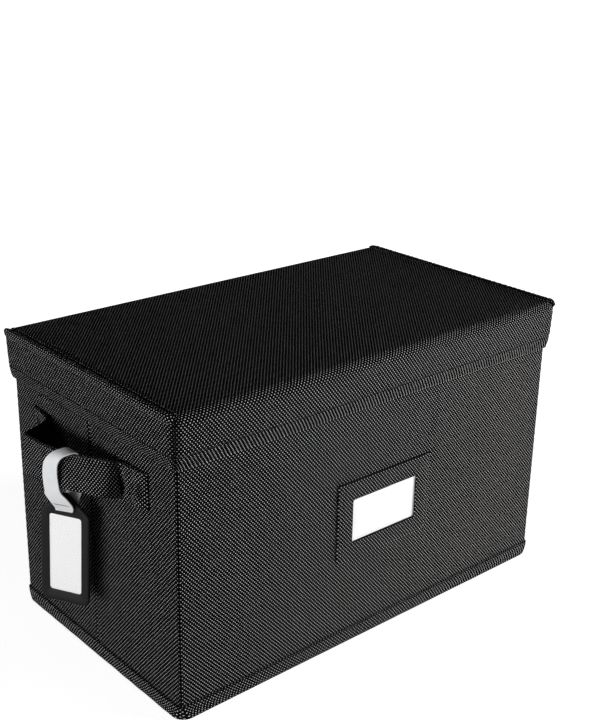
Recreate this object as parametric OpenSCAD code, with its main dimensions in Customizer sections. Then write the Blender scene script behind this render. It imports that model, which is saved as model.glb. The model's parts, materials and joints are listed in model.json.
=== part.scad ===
// Lidded carrying case for a row of 7-inch records, made of woven fabric over board.
// The body stands on z = 0, centred on x and y. The front wall faces -Y and the
// tagged handle is on the left end wall, at -X.

/* [Body] */
// Length of the body over the fabric
body_w = 361; // [300:1:460]
// Depth of the body over the fabric
body_d = 203; // [190:1:260]
// Height of the body from the base to the rim
body_h = 222; // [210:1:280]
// Radius of the vertical corners
corner_r = 3; // [2:0.5:5]
// Depth of the fabric turned in over the rim
rim_fold_h = 12; // [8:1:20]
// Gap between the two half boards of an end wall, where the wall folds
crease_gap = 4; // [2:0.5:8]
// Depth of the pressed crease in the end fabric
crease_depth = 0.4; // [0.2:0.1:0.5]
// Height of the hem band round the base
hem_h = 11.5; // [8:0.5:20]
// Thickness of the hem band
hem_t = 1.1; // [0.6:0.1:1.6]

/* [Sheet materials] */
// Thickness of the woven outer fabric
fabric_t = 0.8; // [0.6:0.1:1.2]
// Thickness of the greyboard in the walls
board_t = 2.4; // [2:0.1:3.5]
// Thickness of the smooth lining
lining_t = 0.6; // [0.4:0.1:1]
// Thickness of the boards in the lid
lid_board_t = 1.2; // [0.8:0.1:2]
// Thickness of the cards
card_t = 0.3; // [0.2:0.05:0.4]
// Thickness of the clear films
film_t = 0.2; // [0.15:0.05:0.3]

/* [Lid] */
// Height of the lid from its lower edge to its top
lid_h = 37.5; // [25:0.5:60]
// Gap between the body and the lower edge of the lid
lid_gap = 0.5; // [0.3:0.1:1.5]
// Height of the folded hem below the skirt's stitch line
lid_hem_h = 10.5; // [6:0.5:14]
// How far the skirt's lining stands off the hem's inner face at the stitch line
lid_rise = 1.4; // [0.5:0.1:2.5]
// How much further the lid stands out at its top than at the stitch line
lid_flare = 1.1; // [0:0.1:3]
// Radius of the lid's corners at its lower edge
lid_corner_r = 5; // [4:0.5:9]
// Height of the raised welt along each end of the lid
welt_h = 4.5; // [3:0.5:8]
// How far the welt stands proud
welt_t = 0.8; // [0.4:0.1:1.5]

/* [Base board and divider] */
// Thickness of the loose base board
base_board_t = 3; // [2:0.1:5]
// Thickness of the divider's board
divider_board_t = 2; // [1.5:0.1:4]
// Gap from the divider's top up to the rim
divider_drop = 17; // [8:1:40]
// Gap between a loose board and the lining, on each side
loose_play = 1; // [0.5:0.1:3]

/* [Label holder] */
// Width of the sewn label patch
label_w = 92; // [70:1:120]
// Height of the sewn label patch
label_h = 62; // [50:1:80]
// Width of the window in the patch
label_window_w = 65; // [40:1:90]
// Height of the window in the patch
label_window_h = 34.5; // [20:0.5:50]
// Place of the patch's centre to the right of the middle
label_x = 4; // [-60:1:60]
// Height of the patch's centre above the base
label_z = 101; // [60:1:130]
// Width of the sewn edge round three sides of the patch
label_seam = 6; // [3:0.5:8]
// Radius of the window's corners
label_corner_r = 2; // [1:0.5:4]

/* [Handles] */
// Distance between the two slits that hold a handle
handle_span = 143; // [120:1:160]
// Height of the handle strap's middle above the base
handle_z = 160.5; // [140:0.5:165]
// Width of the strap
strap_w = 26; // [20:1:32]
// Thickness of the strap
strap_t = 2.4; // [1.6:0.1:3]
// Length of strap sewn down inside the wall
strap_tail = 16; // [8:1:18]
// Play round the strap in its slit
slit_play = 0.4; // [0.2:0.1:1]
// Gap between the wall and the strap's ends at the slits
strap_lift = 0.4; // [0.3:0.1:1]
// How far the strap stands off the wall where its stiff ends stop
strap_clear = 10; // [9:0.5:12]
// How far the slack of the left strap is pulled out
left_slack = 66; // [50:1:80]
// How far the left strap's curve is drawn back in beside its rear slit
left_dip = 3; // [0:0.5:5]
// How far the slack of the right strap is pulled out
right_slack = 36; // [30:1:50]

/* [Tag] */
// Width of the tag
tag_w = 36; // [32:1:44]
// Height of the tag
tag_h = 78; // [70:1:90]
// Thickness of the tag
tag_t = 3; // [2.8:0.1:3.6]
// Width of the tag's window
tag_window_w = 24.5; // [16:0.5:25]
// Height of the tag's window
tag_window_h = 58; // [40:0.5:60]
// Height of the solid edge under the window
tag_sill = 6.5; // [5:0.5:9]
// Width of the solid edge at each side of the tag's pocket
tag_rail = 3.5; // [3:0.1:4.5]
// Thickness of the tag's back plate
tag_back_t = 1; // [0.6:0.1:1.2]
// Width of the tab that holds the slot
tag_tab_w = 19; // [17:0.5:24]
// Height of the sloping shoulders
tag_shoulder = 9; // [6:0.5:12]
// Radius of the tag's corners
tag_corner_r = 5; // [2:0.5:7]
// Angle that the tag turns away from the end wall
tag_turn = 32; // [26:1:36]
// Height of the tag's bottom edge above the base
tag_z = 57; // [50:0.5:60]
// Place of the tag along the left strap, from its rear slit to its front slit
tag_along = 0.485; // [0.44:0.005:0.53]
// Material left above the tag's slot
bridge_h = 3; // [2:0.5:4]
// Width of the plastic loop's band
loop_band = 11; // [9:0.5:12]
// Thickness of the plastic loop
loop_t = 1.2; // [0.8:0.1:1.5]
// Inside width of the loop
loop_in = 18; // [17.5:0.5:20]
// Inside radius of the loop's upper corners
loop_corner_r = 3; // [2:0.5:3.5]
// Gap between the strap's top edge and the loop
loop_top_play = 0.8; // [0.7:0.1:0.9]
// Play of the loop's band in the tag's slot
loop_play = 0.6; // [0.4:0.1:0.8]

/* [Hidden] */

$fn = 32;
touch = 0.05;                               // play between cards, films and what holds them
insert_play = 0.5;                          // play at each side of the tag's card and film
tall = 1000;                                // reach of the cutting blocks
past = 1;                                   // how far a cut runs past the face that it opens
corner_past = 50;                           // how far the mitre lines run past the body
inner_corner_r = 0.5;                       // radius left on an inside corner
fabric_colour = "#202022";
lining_colour = "#2c2d30";
board_colour = "#9a8c74";
card_colour = "#f4f4f2";
film_colour = [0.85, 0.9, 0.95, 0.3];

wall_t = fabric_t + board_t + lining_t;     // outer fabric, board and lining
rim_t = wall_t + fabric_t;                  // the wall where the fabric is turned in
skirt_t = fabric_t + lid_board_t + lining_t;
lid_hem_t = 2 * fabric_t;                   // the hem is the cloth folded on itself
lid_low_over = lid_gap + lid_hem_t;         // overhang at the lid's lower edge
lid_mid_over = lid_gap + skirt_t + lid_rise;    // overhang at the stitch line
lid_top = body_h + skirt_t;
lid_low = lid_top - lid_h;
lid_hem_z = lid_low + lid_hem_h;            // height of the stitch line
lid_board_z = lid_top - fabric_t - lid_board_t;

cover_t = lining_t;                         // cover of the base board and divider
base_z = fabric_t + lining_t;               // top of the sewn bottom
base_top = base_z + base_board_t + 2 * cover_t;
divider_t = divider_board_t + 2 * cover_t;
divider_top = body_h - divider_drop;

slit_y = handle_span / 2;
strap_start = strap_t / 2 + strap_lift;     // middle of the strap off the wall at its slits
left_rear = -0.42 * slit_y;                 // places along the wall of the curves' inner points
left_front = 0.53 * slit_y;
right_reach = 0.67 * slit_y;
left_path = [[-slit_y, strap_start], [left_rear, -left_dip], [left_front, left_slack],
    [slit_y, strap_start]];
right_path = [[-slit_y, strap_start], [-right_reach, right_slack], [right_reach, right_slack],
    [slit_y, strap_start]];
path_steps = 40;
path_checks = 200;

tag_at = bezier(left_path, tag_along);      // [along the wall, off the wall]
tag_top = tag_z + tag_h;
loop_r = loop_in / 2;
loop_low_z = tag_top - bridge_h - loop_play + loop_r;   // centre of the loop's lower arc
loop_high_z = handle_z + strap_w / 2 + loop_top_play;   // inside of the loop's top
slot_z = tag_top - bridge_h;                // upper edge of the slot
slot_h = 2 * loop_play + loop_t;
slot_w = loop_band + 2 * loop_play;
tag_window_z = tag_z + tag_sill + tag_window_h / 2;
tag_pocket_w = tag_w - 2 * tag_rail;
tag_lap = 1.5;                              // how far the card reaches past the window
tag_film_x = -0.3;                          // front face of the film inside the tag

// A point on a cubic curve with four control points.
function bezier(p, t) = pow(1 - t, 3) * p[0] + 3 * t * pow(1 - t, 2) * p[1]
    + 3 * t * t * (1 - t) * p[2] + pow(t, 3) * p[3];

// The curve's direction there, of unit length.
function heading(p, t) = let (v = pow(1 - t, 2) * (p[1] - p[0]) + 2 * t * (1 - t) * (p[2] - p[1])
    + t * t * (p[3] - p[2])) v / norm(v);

// The curve moved sideways by a distance.
function beside(p, t, s) = let (h = heading(p, t)) bezier(p, t) + s * [-h[1], h[0]];

// Places along the wall between which a strap stands clear of it.
function clear_y(p) = [for (i = [0:path_checks]) let (q = bezier(p, i / path_checks))
    if (q[1] >= strap_clear) q[0]];

// A rectangle with round corners, in the plane.
module round_plate(w, d, r) {
    square([w - 2 * r, d], center = true);
    square([w, d - 2 * r], center = true);
    for (x = [-1, 1], y = [-1, 1])
        translate([x * (w / 2 - r), y * (d / 2 - r)]) circle(r);
}

// The body's outline, drawn in by a distance.
module body_outline(inset) {
    round_plate(body_w - 2 * inset, body_d - 2 * inset, max(corner_r - inset, inner_corner_r));
}

// The quarter of the plan that belongs to one wall, cut at the corners' mitres.
module wedge(side) {
    a = body_w / 2 + corner_past;
    b = body_d / 2 + corner_past;
    c = a - b;
    long_side = [[-a, -b], [a, -b], [c, 0], [-c, 0]];
    short_side = [[-a, -b], [-c, 0], [-a, b]];
    half_turn = side == "back" || side == "right" ? 180 : 0;
    points = side == "front" || side == "back" ? long_side : short_side;
    linear_extrude(tall, center = true) rotate(half_turn) polygon(points);
}

// One wall's share of a layer that runs round the body.
module wall_layer(side, inset, t, z0, z1) {
    intersection() {
        translate([0, 0, z0]) linear_extrude(z1 - z0) difference() {
            body_outline(inset);
            body_outline(inset + t);
        }
        wedge(side);
    }
}

// Outer fabric of a wall: the face, the turn over the rim and the band inside.
module wall_fabric(side) {
    wall_layer(side, 0, fabric_t, fabric_t, body_h);
    wall_layer(side, 0, rim_t, body_h - fabric_t, body_h);
    wall_layer(side, wall_t, fabric_t, body_h - rim_fold_h, body_h);
}

module front_fabric() {
    color(fabric_colour) wall_fabric("front");
}

module back_fabric() {
    color(fabric_colour) wall_fabric("back");
}

// An end wall's fabric has a pressed crease down its middle and two slits for the handle.
module end_fabric(side) {
    x = side == "left" ? -body_w / 2 : body_w / 2;
    difference() {
        wall_fabric(side);
        translate([x, 0, body_h / 2 - rim_fold_h]) rotate([0, 0, 45])
            cube([crease_depth * sqrt(2), crease_depth * sqrt(2), body_h], center = true);
        for (y = [-slit_y, slit_y]) translate([x, y, handle_z])
            cube([4 * fabric_t, strap_t + 2 * slit_play, strap_w + 2 * slit_play], center = true);
    }
}

module left_fabric() {
    color(fabric_colour) end_fabric("left");
}

module right_fabric() {
    color(fabric_colour) end_fabric("right");
}

module bottom_fabric() {
    color(fabric_colour) linear_extrude(fabric_t) body_outline(0);
}

// Folded band sewn round the foot of the walls.
module hem_band() {
    color(fabric_colour) linear_extrude(hem_h) difference() {
        body_outline(-hem_t);
        body_outline(0);
    }
}

// Smooth lining of the four walls and the bottom, sewn as one bag.
module lining() {
    inset = fabric_t + board_t;
    color(lining_colour) {
        translate([0, 0, fabric_t]) linear_extrude(body_h - 2 * fabric_t) difference() {
            body_outline(inset);
            body_outline(inset + lining_t);
        }
        translate([0, 0, fabric_t]) linear_extrude(lining_t) body_outline(inset);
    }
}

module wall_board(side) {
    wall_layer(side, fabric_t, board_t, fabric_t, body_h - fabric_t);
}

module front_board() {
    color(board_colour) wall_board("front");
}

module back_board() {
    color(board_colour) wall_board("back");
}

// Half of an end wall's board, notched round the sewn end of the strap.
module half_board(side, end) {
    x = (side == "left" ? -1 : 1) * body_w / 2;
    notch_y = strap_t / 2 + slit_play;
    color(board_colour) intersection() {
        difference() {
            wall_board(side);
            translate([x, end * (slit_y - notch_y + (strap_tail + notch_y + slit_play) / 2), handle_z])
                cube([4 * board_t, strap_tail + notch_y + slit_play, strap_w + 2 * slit_play],
                    center = true);
        }
        translate([x, end * (tall + crease_gap) / 2, 0]) cube([tall, tall, tall], center = true);
    }
}

module left_front_board() {
    half_board("left", -1);
}

module left_rear_board() {
    half_board("left", 1);
}

module right_front_board() {
    half_board("right", -1);
}

module right_rear_board() {
    half_board("right", 1);
}

// A loose board of the inside's plan, drawn in by the play.
module loose_plate(inset, z0, t) {
    translate([0, 0, z0]) linear_extrude(t)
        square([body_w - 2 * (rim_t + loose_play + inset), body_d - 2 * (rim_t + loose_play + inset)],
            center = true);
}

module base_board() {
    color(board_colour) loose_plate(cover_t, base_z + cover_t, base_board_t);
}

module base_board_cover() {
    color(lining_colour) difference() {
        loose_plate(0, base_z, base_top - base_z);
        loose_plate(cover_t, base_z + cover_t, base_board_t);
    }
}

// The divider's solid, drawn in by a distance on every face.
module divider_block(inset) {
    depth = body_d - 2 * (rim_t + loose_play + inset);
    translate([-divider_t / 2 + inset, -depth / 2, base_top + inset])
        cube([divider_t - 2 * inset, depth, divider_top - base_top - 2 * inset]);
}

module divider_board() {
    color(board_colour) divider_block(cover_t);
}

module divider_cover() {
    color(fabric_colour) difference() {
        divider_block(0);
        divider_block(cover_t);
    }
}

// Places an outline on the front wall, its middle at the label's centre.
module on_front(off, t) {
    translate([label_x, -body_d / 2 - off, label_z]) rotate([90, 0, 0]) linear_extrude(t) children();
}

pocket_t = card_t + film_t + 3 * touch;     // room behind the patch

// Sewn patch with a window: raised over the card, joined to the wall at both sides and below.
module label_frame() {
    color(fabric_colour) {
        on_front(pocket_t, fabric_t) difference() {
            round_plate(label_w, label_h, label_corner_r);
            round_plate(label_window_w, label_window_h, label_corner_r);
        }
        on_front(0, pocket_t) difference() {
            round_plate(label_w, label_h, label_corner_r);
            translate([0, label_seam]) square([label_w - 2 * label_seam, label_h], center = true);
        }
    }
}

module label_window() {
    color(film_colour) on_front(pocket_t - film_t, film_t)
        round_plate(label_window_w + 2 * label_seam, label_window_h + 2 * label_seam, label_corner_r);
}

// The card stands on the patch's bottom seam.
label_card_h = label_h / 2 - label_seam + label_window_h / 2 + label_seam;
label_card_play = 1;                        // play at each side of the card
module label_card() {
    color(card_colour) on_front(touch, card_t) translate([0, label_seam - label_h / 2 + label_card_h / 2])
        square([label_w - 2 * (label_seam + label_card_play), label_card_h], center = true);
}

// A strap along a path off the left wall, as one solid of the strap's width.
module strap_along(path) {
    outer = [for (i = [0:path_steps]) beside(path, i / path_steps, strap_t / 2)];
    inner = [for (i = [path_steps:-1:0]) beside(path, i / path_steps, -strap_t / 2)];
    translate([-body_w / 2, 0, handle_z - strap_w / 2]) linear_extrude(strap_w)
        polygon([for (q = concat(outer, inner)) [-q[1], q[0]]]);
}

// The stretch of the left wall's length between two places, as a cutting block.
module along_y(y0, y1) {
    translate([-body_w / 2 - tall / 2, y0, 0]) cube([tall, y1 - y0, tall]);
}

// The free middle of a strap, which bows off the wall and swings.
module strap_middle(path) {
    reach = clear_y(path);
    color(fabric_colour) intersection() {
        strap_along(path);
        along_y(min(reach), max(reach));
    }
}

// The two ends of a strap: out through the slit, and a tail sewn down inside the wall.
module strap_ends(path) {
    reach = clear_y(path);
    color(fabric_colour) {
        difference() {
            strap_along(path);
            along_y(min(reach), max(reach));
        }
        for (s = [-1, 1]) {
            translate([-body_w / 2 - strap_start, s * slit_y - strap_t / 2, handle_z - strap_w / 2])
                cube([strap_start + fabric_t, strap_t, strap_w]);
            translate([-body_w / 2 + fabric_t, s * (slit_y + strap_tail / 2 - strap_t / 4)
                - strap_tail / 2 - strap_t / 4, handle_z - strap_w / 2])
                cube([board_t, strap_tail + strap_t / 2, strap_w]);
        }
    }
}

module left_handle_ends() {
    strap_ends(left_path);
}

module left_handle_strap() {
    strap_middle(left_path);
}

module right_handle_ends() {
    mirror([1, 0, 0]) strap_ends(right_path);
}

module right_handle_strap() {
    mirror([1, 0, 0]) strap_middle(right_path);
}

// Puts the tag's own frame in place: its face looks along -X before it turns.
module at_tag() {
    translate([-body_w / 2 - tag_at[1], tag_at[0], 0]) rotate([0, 0, tag_turn]) children();
}

// Draws an outline in the tag's plane, between two depths.
module tag_slice(x0, x1) {
    translate([x0, 0, 0]) rotate([90, 0, 90]) linear_extrude(x1 - x0) children();
}

// The loop's outline, grown outwards by a distance.
module loop_outline(grow) {
    r = loop_r + grow;
    c = loop_corner_r + grow;
    side = loop_high_z - loop_corner_r - loop_low_z;
    translate([0, loop_low_z]) circle(r, $fn = 64);
    translate([-r, loop_low_z]) square([2 * r, side]);
    translate([-(loop_r - loop_corner_r), loop_low_z])
        square([2 * (loop_r - loop_corner_r), side + c]);
    for (x = [-1, 1])
        translate([x * (loop_r - loop_corner_r), loop_low_z + side]) circle(c);
}

// Flat plastic band, closed round the strap and through the tag's slot.
module tag_loop() {
    color("#e8eaea") at_tag() rotate([90, 0, 0]) linear_extrude(loop_band, center = true)
        difference() {
            loop_outline(loop_t);
            loop_outline(0);
        }
}

// Outline of the tag: round lower corners, sloping shoulders and a narrow tab.
module tag_outline() {
    h = tag_h - tag_shoulder;
    r = tag_corner_r;
    translate([-tag_w / 2, tag_z + r]) square([tag_w, h - r]);
    translate([-tag_w / 2 + r, tag_z]) square([tag_w - 2 * r, h]);
    for (x = [-1, 1]) translate([x * (tag_w / 2 - r), tag_z + r]) circle(r);
    polygon([[-tag_w / 2, tag_z + h], [tag_w / 2, tag_z + h], [tag_tab_w / 2, tag_top],
        [-tag_tab_w / 2, tag_top]]);
}

// A rectangle centred on the tag's window.
module tag_panel(w, h) {
    translate([0, tag_window_z]) square([w, h], center = true);
}

tag_card_x = tag_film_x + film_t + touch;   // front face of the card
tag_back_x = tag_t / 2 - tag_back_t;        // front face of the back plate

// Moulded frame: window in front, pocket behind, slot in the tab and a gap for the card.
module tag_frame() {
    card_h = tag_window_h + 2 * tag_lap;
    color("#17171a") at_tag() difference() {
        tag_slice(-tag_t / 2, tag_t / 2) tag_outline();
        tag_slice(-tag_t, 0) tag_panel(tag_window_w, tag_window_h);
        tag_slice(tag_film_x, tag_t) tag_panel(tag_pocket_w, card_h + 2 * touch);
        tag_slice(tag_card_x - touch, tag_back_x)
            translate([tag_w / 2, 0]) tag_panel(tag_w, card_h + 2 * touch);
        tag_slice(-tag_t, tag_t)
            translate([-slot_w / 2, slot_z - slot_h]) square([slot_w, slot_h]);
    }
}

module tag_back() {
    color("#17171a") at_tag() tag_slice(tag_back_x, tag_t / 2)
        tag_panel(tag_pocket_w - 2 * touch, tag_window_h + 2 * tag_lap);
}

module tag_window() {
    color(film_colour) at_tag() tag_slice(tag_film_x, tag_film_x + film_t)
        tag_panel(tag_pocket_w - 2 * insert_play, tag_window_h + 2 * tag_lap);
}

module tag_card() {
    color(card_colour) at_tag() tag_slice(tag_card_x, tag_card_x + card_t)
        tag_panel(tag_pocket_w - 2 * insert_play, tag_window_h + 2 * tag_lap - 2 * touch);
}

// How far the lid's skirt stands out over the body at a height.
function skirt_over(z) = lid_mid_over + lid_flare * (z - lid_hem_z) / (lid_top - lid_hem_z);

// The same for the hem, which draws in towards the body.
function hem_over(z) = lid_low_over + (lid_mid_over - lid_low_over) * (z - lid_low) / lid_hem_h;

// The lid's sloping block between two heights, drawn in by a distance.
module lid_block(inset, z0, z1, hem = false) {
    skin = 0.01;
    over0 = hem ? hem_over(z0) : skirt_over(z0);
    over1 = hem ? hem_over(z1) : skirt_over(z1);
    hull() {
        translate([0, 0, z0]) linear_extrude(skin) lid_outline(inset - over0);
        translate([0, 0, z1 - skin]) linear_extrude(skin) lid_outline(inset - over1);
    }
}

module lid_outline(inset) {
    round_plate(body_w - 2 * inset, body_d - 2 * inset,
        max(lid_corner_r - inset - lid_low_over, inner_corner_r));
}

// One side's share of a layer in the lid's skirt or hem.
module lid_layer(side, inset, t, z0, z1, hem = false) {
    intersection() {
        difference() {
            lid_block(inset, z0, z1, hem);
            lid_block(inset + t, z0 - past, z1 + past, hem);
        }
        wedge(side);
    }
}

// Skirt fabric: the face over the board, and the folded hem below it.
module lid_side_fabric(side) {
    color(fabric_colour) {
        lid_layer(side, 0, fabric_t, lid_hem_z, lid_top - fabric_t);
        lid_layer(side, 0, lid_hem_t, lid_low, lid_hem_z, hem = true);
    }
}

module lid_side_board(side) {
    color(board_colour) lid_layer(side, fabric_t, lid_board_t, lid_hem_z, lid_board_z);
}

module lid_top_fabric() {
    color(fabric_colour) lid_block(0, lid_top - fabric_t, lid_top);
}

module lid_top_board() {
    color(board_colour) lid_block(fabric_t, lid_board_z, lid_board_z + lid_board_t);
}

module lid_front_fabric() {
    lid_side_fabric("front");
}

module lid_back_fabric() {
    lid_side_fabric("back");
}

module lid_left_fabric() {
    lid_side_fabric("left");
}

module lid_right_fabric() {
    lid_side_fabric("right");
}

module lid_front_board() {
    lid_side_board("front");
}

module lid_back_board() {
    lid_side_board("back");
}

module lid_left_board() {
    lid_side_board("left");
}

module lid_right_board() {
    lid_side_board("right");
}

// Lining of the lid's skirt and ceiling.
module lid_lining() {
    inset = fabric_t + lid_board_t;
    color(lining_colour) difference() {
        lid_block(inset, lid_hem_z, lid_board_z);
        lid_block(inset + lining_t, lid_hem_z - past, lid_board_z - lining_t);
    }
}

// Raised welt along the top edge of one end of the lid.
module lid_welt(side) {
    color(fabric_colour) intersection() {
        lid_layer(side, -welt_t, welt_t, lid_top - welt_h, lid_top);
        cube([tall, body_d, tall], center = true);
    }
}

module lid_left_welt() {
    lid_welt("left");
}

module lid_right_welt() {
    lid_welt("right");
}

front_fabric();
back_fabric();
left_fabric();
right_fabric();
bottom_fabric();
hem_band();
lining();
front_board();
back_board();
left_front_board();
left_rear_board();
right_front_board();
right_rear_board();
base_board();
base_board_cover();
divider_board();
divider_cover();
label_frame();
label_window();
label_card();
left_handle_ends();
left_handle_strap();
right_handle_ends();
right_handle_strap();
tag_loop();
tag_frame();
tag_back();
tag_window();
tag_card();
lid_top_fabric();
lid_front_fabric();
lid_back_fabric();
lid_left_fabric();
lid_right_fabric();
lid_top_board();
lid_front_board();
lid_back_board();
lid_left_board();
lid_right_board();
lid_lining();
lid_left_welt();
lid_right_welt();
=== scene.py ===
import json
import math

import bpy
import numpy as np
from mathutils import Matrix, Vector


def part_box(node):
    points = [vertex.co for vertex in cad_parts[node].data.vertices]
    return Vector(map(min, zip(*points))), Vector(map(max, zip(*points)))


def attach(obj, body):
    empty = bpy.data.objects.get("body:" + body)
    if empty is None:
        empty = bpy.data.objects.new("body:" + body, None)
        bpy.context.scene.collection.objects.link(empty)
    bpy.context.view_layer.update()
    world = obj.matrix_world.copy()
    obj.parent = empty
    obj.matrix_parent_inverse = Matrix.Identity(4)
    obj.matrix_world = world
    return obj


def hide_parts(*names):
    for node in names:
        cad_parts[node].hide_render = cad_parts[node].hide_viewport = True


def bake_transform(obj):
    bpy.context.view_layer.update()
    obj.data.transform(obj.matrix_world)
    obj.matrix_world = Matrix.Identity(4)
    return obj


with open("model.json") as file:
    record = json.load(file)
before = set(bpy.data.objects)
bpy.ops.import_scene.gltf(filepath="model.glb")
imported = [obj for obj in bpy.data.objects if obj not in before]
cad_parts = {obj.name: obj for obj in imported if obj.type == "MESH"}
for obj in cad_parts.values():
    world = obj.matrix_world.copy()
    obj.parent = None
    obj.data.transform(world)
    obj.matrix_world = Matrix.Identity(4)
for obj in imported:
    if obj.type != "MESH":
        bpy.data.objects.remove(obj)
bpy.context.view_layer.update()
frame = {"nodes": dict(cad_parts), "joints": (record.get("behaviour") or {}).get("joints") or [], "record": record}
print("frame loaded,", len(frame["nodes"]), "nodes")

mm = 0.001

# Places taken from the frame: half the body's length and depth, its rim, and the lid's edges.
bodyHalf = (-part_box("left_fabric")[0].x, -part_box("front_fabric")[0].y)
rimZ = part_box("front_fabric")[1].z
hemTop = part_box("hem_band")[1].z
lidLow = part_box("lid_front_fabric")[0].z
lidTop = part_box("lid_top_fabric")[1].z
cloth = 0.8 * mm  # thickness of the woven cloth

# For each wall, the direction that it faces and the direction that it runs in, seen from above.
sides = {
    "front": ((0, -1), (1, 0)),
    "right": ((1, 0), (0, 1)),
    "back": ((0, 1), (-1, 0)),
    "left": ((-1, 0), (0, -1)),
}


def bell(x, centre, width):
    # Bell curve: e to the power of minus the squared distance from the centre over the width.
    return np.exp(-(((x - centre) / width) ** 2))


def ramp(x, start, end):
    # Smooth step from 0 to 1: three t squared minus two t cubed.
    t = np.clip((x - start) / (end - start), 0, 1)
    return t * t * (3 - 2 * t)


def inside(x, low, high, edge):
    # 1 between low and high, falling to 0 over the edge's width outside them.
    return ramp(x, low - edge, low) * (1 - ramp(x, high, high + edge))


def ripple(u, v, size, height, seed, count=7):
    # Soft unevenness: a sum of sine waves that run in random directions, about one size long.
    rng = np.random.default_rng(seed)
    total = 0
    for angle, phase, stretch in rng.uniform((0, 0, 0.7), (math.pi, 2 * math.pi, 1.7), (count, 3)):
        along = u * math.cos(angle) + v * math.sin(angle)
        total = total + np.sin(2 * math.pi * along / (size * stretch) + phase)
    return height * total / math.sqrt(count)


def swells(s, z, sizes, height, seed):
    # Unevenness in two sizes, the finer one a quarter as high as the coarse one.
    coarse, fine = sizes
    return ripple(s, z, coarse, height, seed) + ripple(s, z, fine, 0.25 * height, seed + 1)


def seamPuckers(s, z, fromSeam, period, height, seed):
    # Small waves beside a seam: a sine of the height that dies away from the seam.
    wave = np.sin(2 * math.pi * z / period + ripple(s, z, 40 * mm, 1.6, seed))
    return height * wave * np.exp(-fromSeam / (5 * mm)) * ramp(fromSeam, 0, 1.5 * mm)


def spaced(start, end, step, closeTo=(), reach=2.5 * mm, fine=0.4 * mm):
    # Places from start to end: an even row, and closer ones round each listed place.
    rows = [np.linspace(start, end, max(2, round((end - start) / step) + 1))]
    rows += [np.arange(place - reach, place + reach, fine) for place in closeTo]
    places = np.unique(np.clip(np.concatenate(rows), start, end).round(7))
    keep = np.append(True, np.diff(places) > 0.3 * fine)
    keep[-1] = True
    return places[keep]


def smoothLine(knots, count, closed=False, even=True):
    # A Catmull-Rom curve through the knots, taken at even lengths or at even shares of each span.
    k = np.array(knots, float)
    k = np.vstack([k[-1], k, k[0], k[1]]) if closed else np.vstack([2 * k[0] - k[1], k, 2 * k[-1] - k[-2]])
    t = np.linspace(0, 1, 24, endpoint=False)[None, :, None]
    a, b, c, d = (k[i : len(k) - 3 + i][:, None] for i in range(4))
    run = 0.5 * (2 * b + (c - a) * t + (2 * a - 5 * b + 4 * c - d) * t**2 + (3 * b - a - 3 * c + d) * t**3)
    run = np.vstack([run.reshape(-1, k.shape[1]), k[-2]])
    length = lengthsAlong(run) if even else np.arange(len(run))
    wanted = np.linspace(0, length[-1], count, endpoint=not closed)
    return np.stack([np.interp(wanted, length, run[:, i]) for i in range(k.shape[1])], -1)


def lengthsAlong(points):
    # Distance run so far along each row of points.
    steps = np.linalg.norm(np.diff(points, axis=0), axis=-1)
    return np.concatenate([np.zeros_like(steps[:1]), np.cumsum(steps, axis=0)])


def arcPoints(centre, radius, start, end, count=9):
    # Points on a circle, between two angles in degrees.
    turn = np.radians(np.linspace(start, end, count))
    return np.column_stack([centre[0] + radius * np.cos(turn), centre[1] + radius * np.sin(turn)])


def quadMesh(name, points, quads, uv, sharp=40, paintedShade=None):
    # Puts points and four-cornered faces into a mesh, turned so that its volume counts as positive.
    # The painted shade, from 0 to 1, is how much each point's colour is darkened for the shade in a seam, a fold
    # or a recess.
    flat = points.reshape(-1, 3)
    a, b, c, d = (flat[quads[:, k]] for k in range(4))
    volume = np.einsum("ij,ij->", a, np.cross(b, c)) + np.einsum("ij,ij->", a, np.cross(c, d))
    if volume < 0:
        quads, uv = quads[:, ::-1], uv[:, ::-1]
    mesh = bpy.data.meshes.new(name)
    mesh.from_pydata(flat.tolist(), [], quads.tolist())
    mesh.uv_layers.new(name="cloth").data.foreach_set("uv", np.ascontiguousarray(uv, np.float32).ravel())
    mesh.polygons.foreach_set("use_smooth", np.ones(len(quads), bool))
    mesh.set_sharp_from_angle(angle=math.radians(sharp))
    if paintedShade is not None:
        values = np.ascontiguousarray(np.clip(paintedShade, 0, 1), np.float32).ravel()
        mesh.attributes.new("paintedShade", "FLOAT", "POINT").data.foreach_set("value", values)
    mesh.update()
    obj = bpy.data.objects.new(name, mesh)
    bpy.context.scene.collection.objects.link(obj)
    return obj


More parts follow.
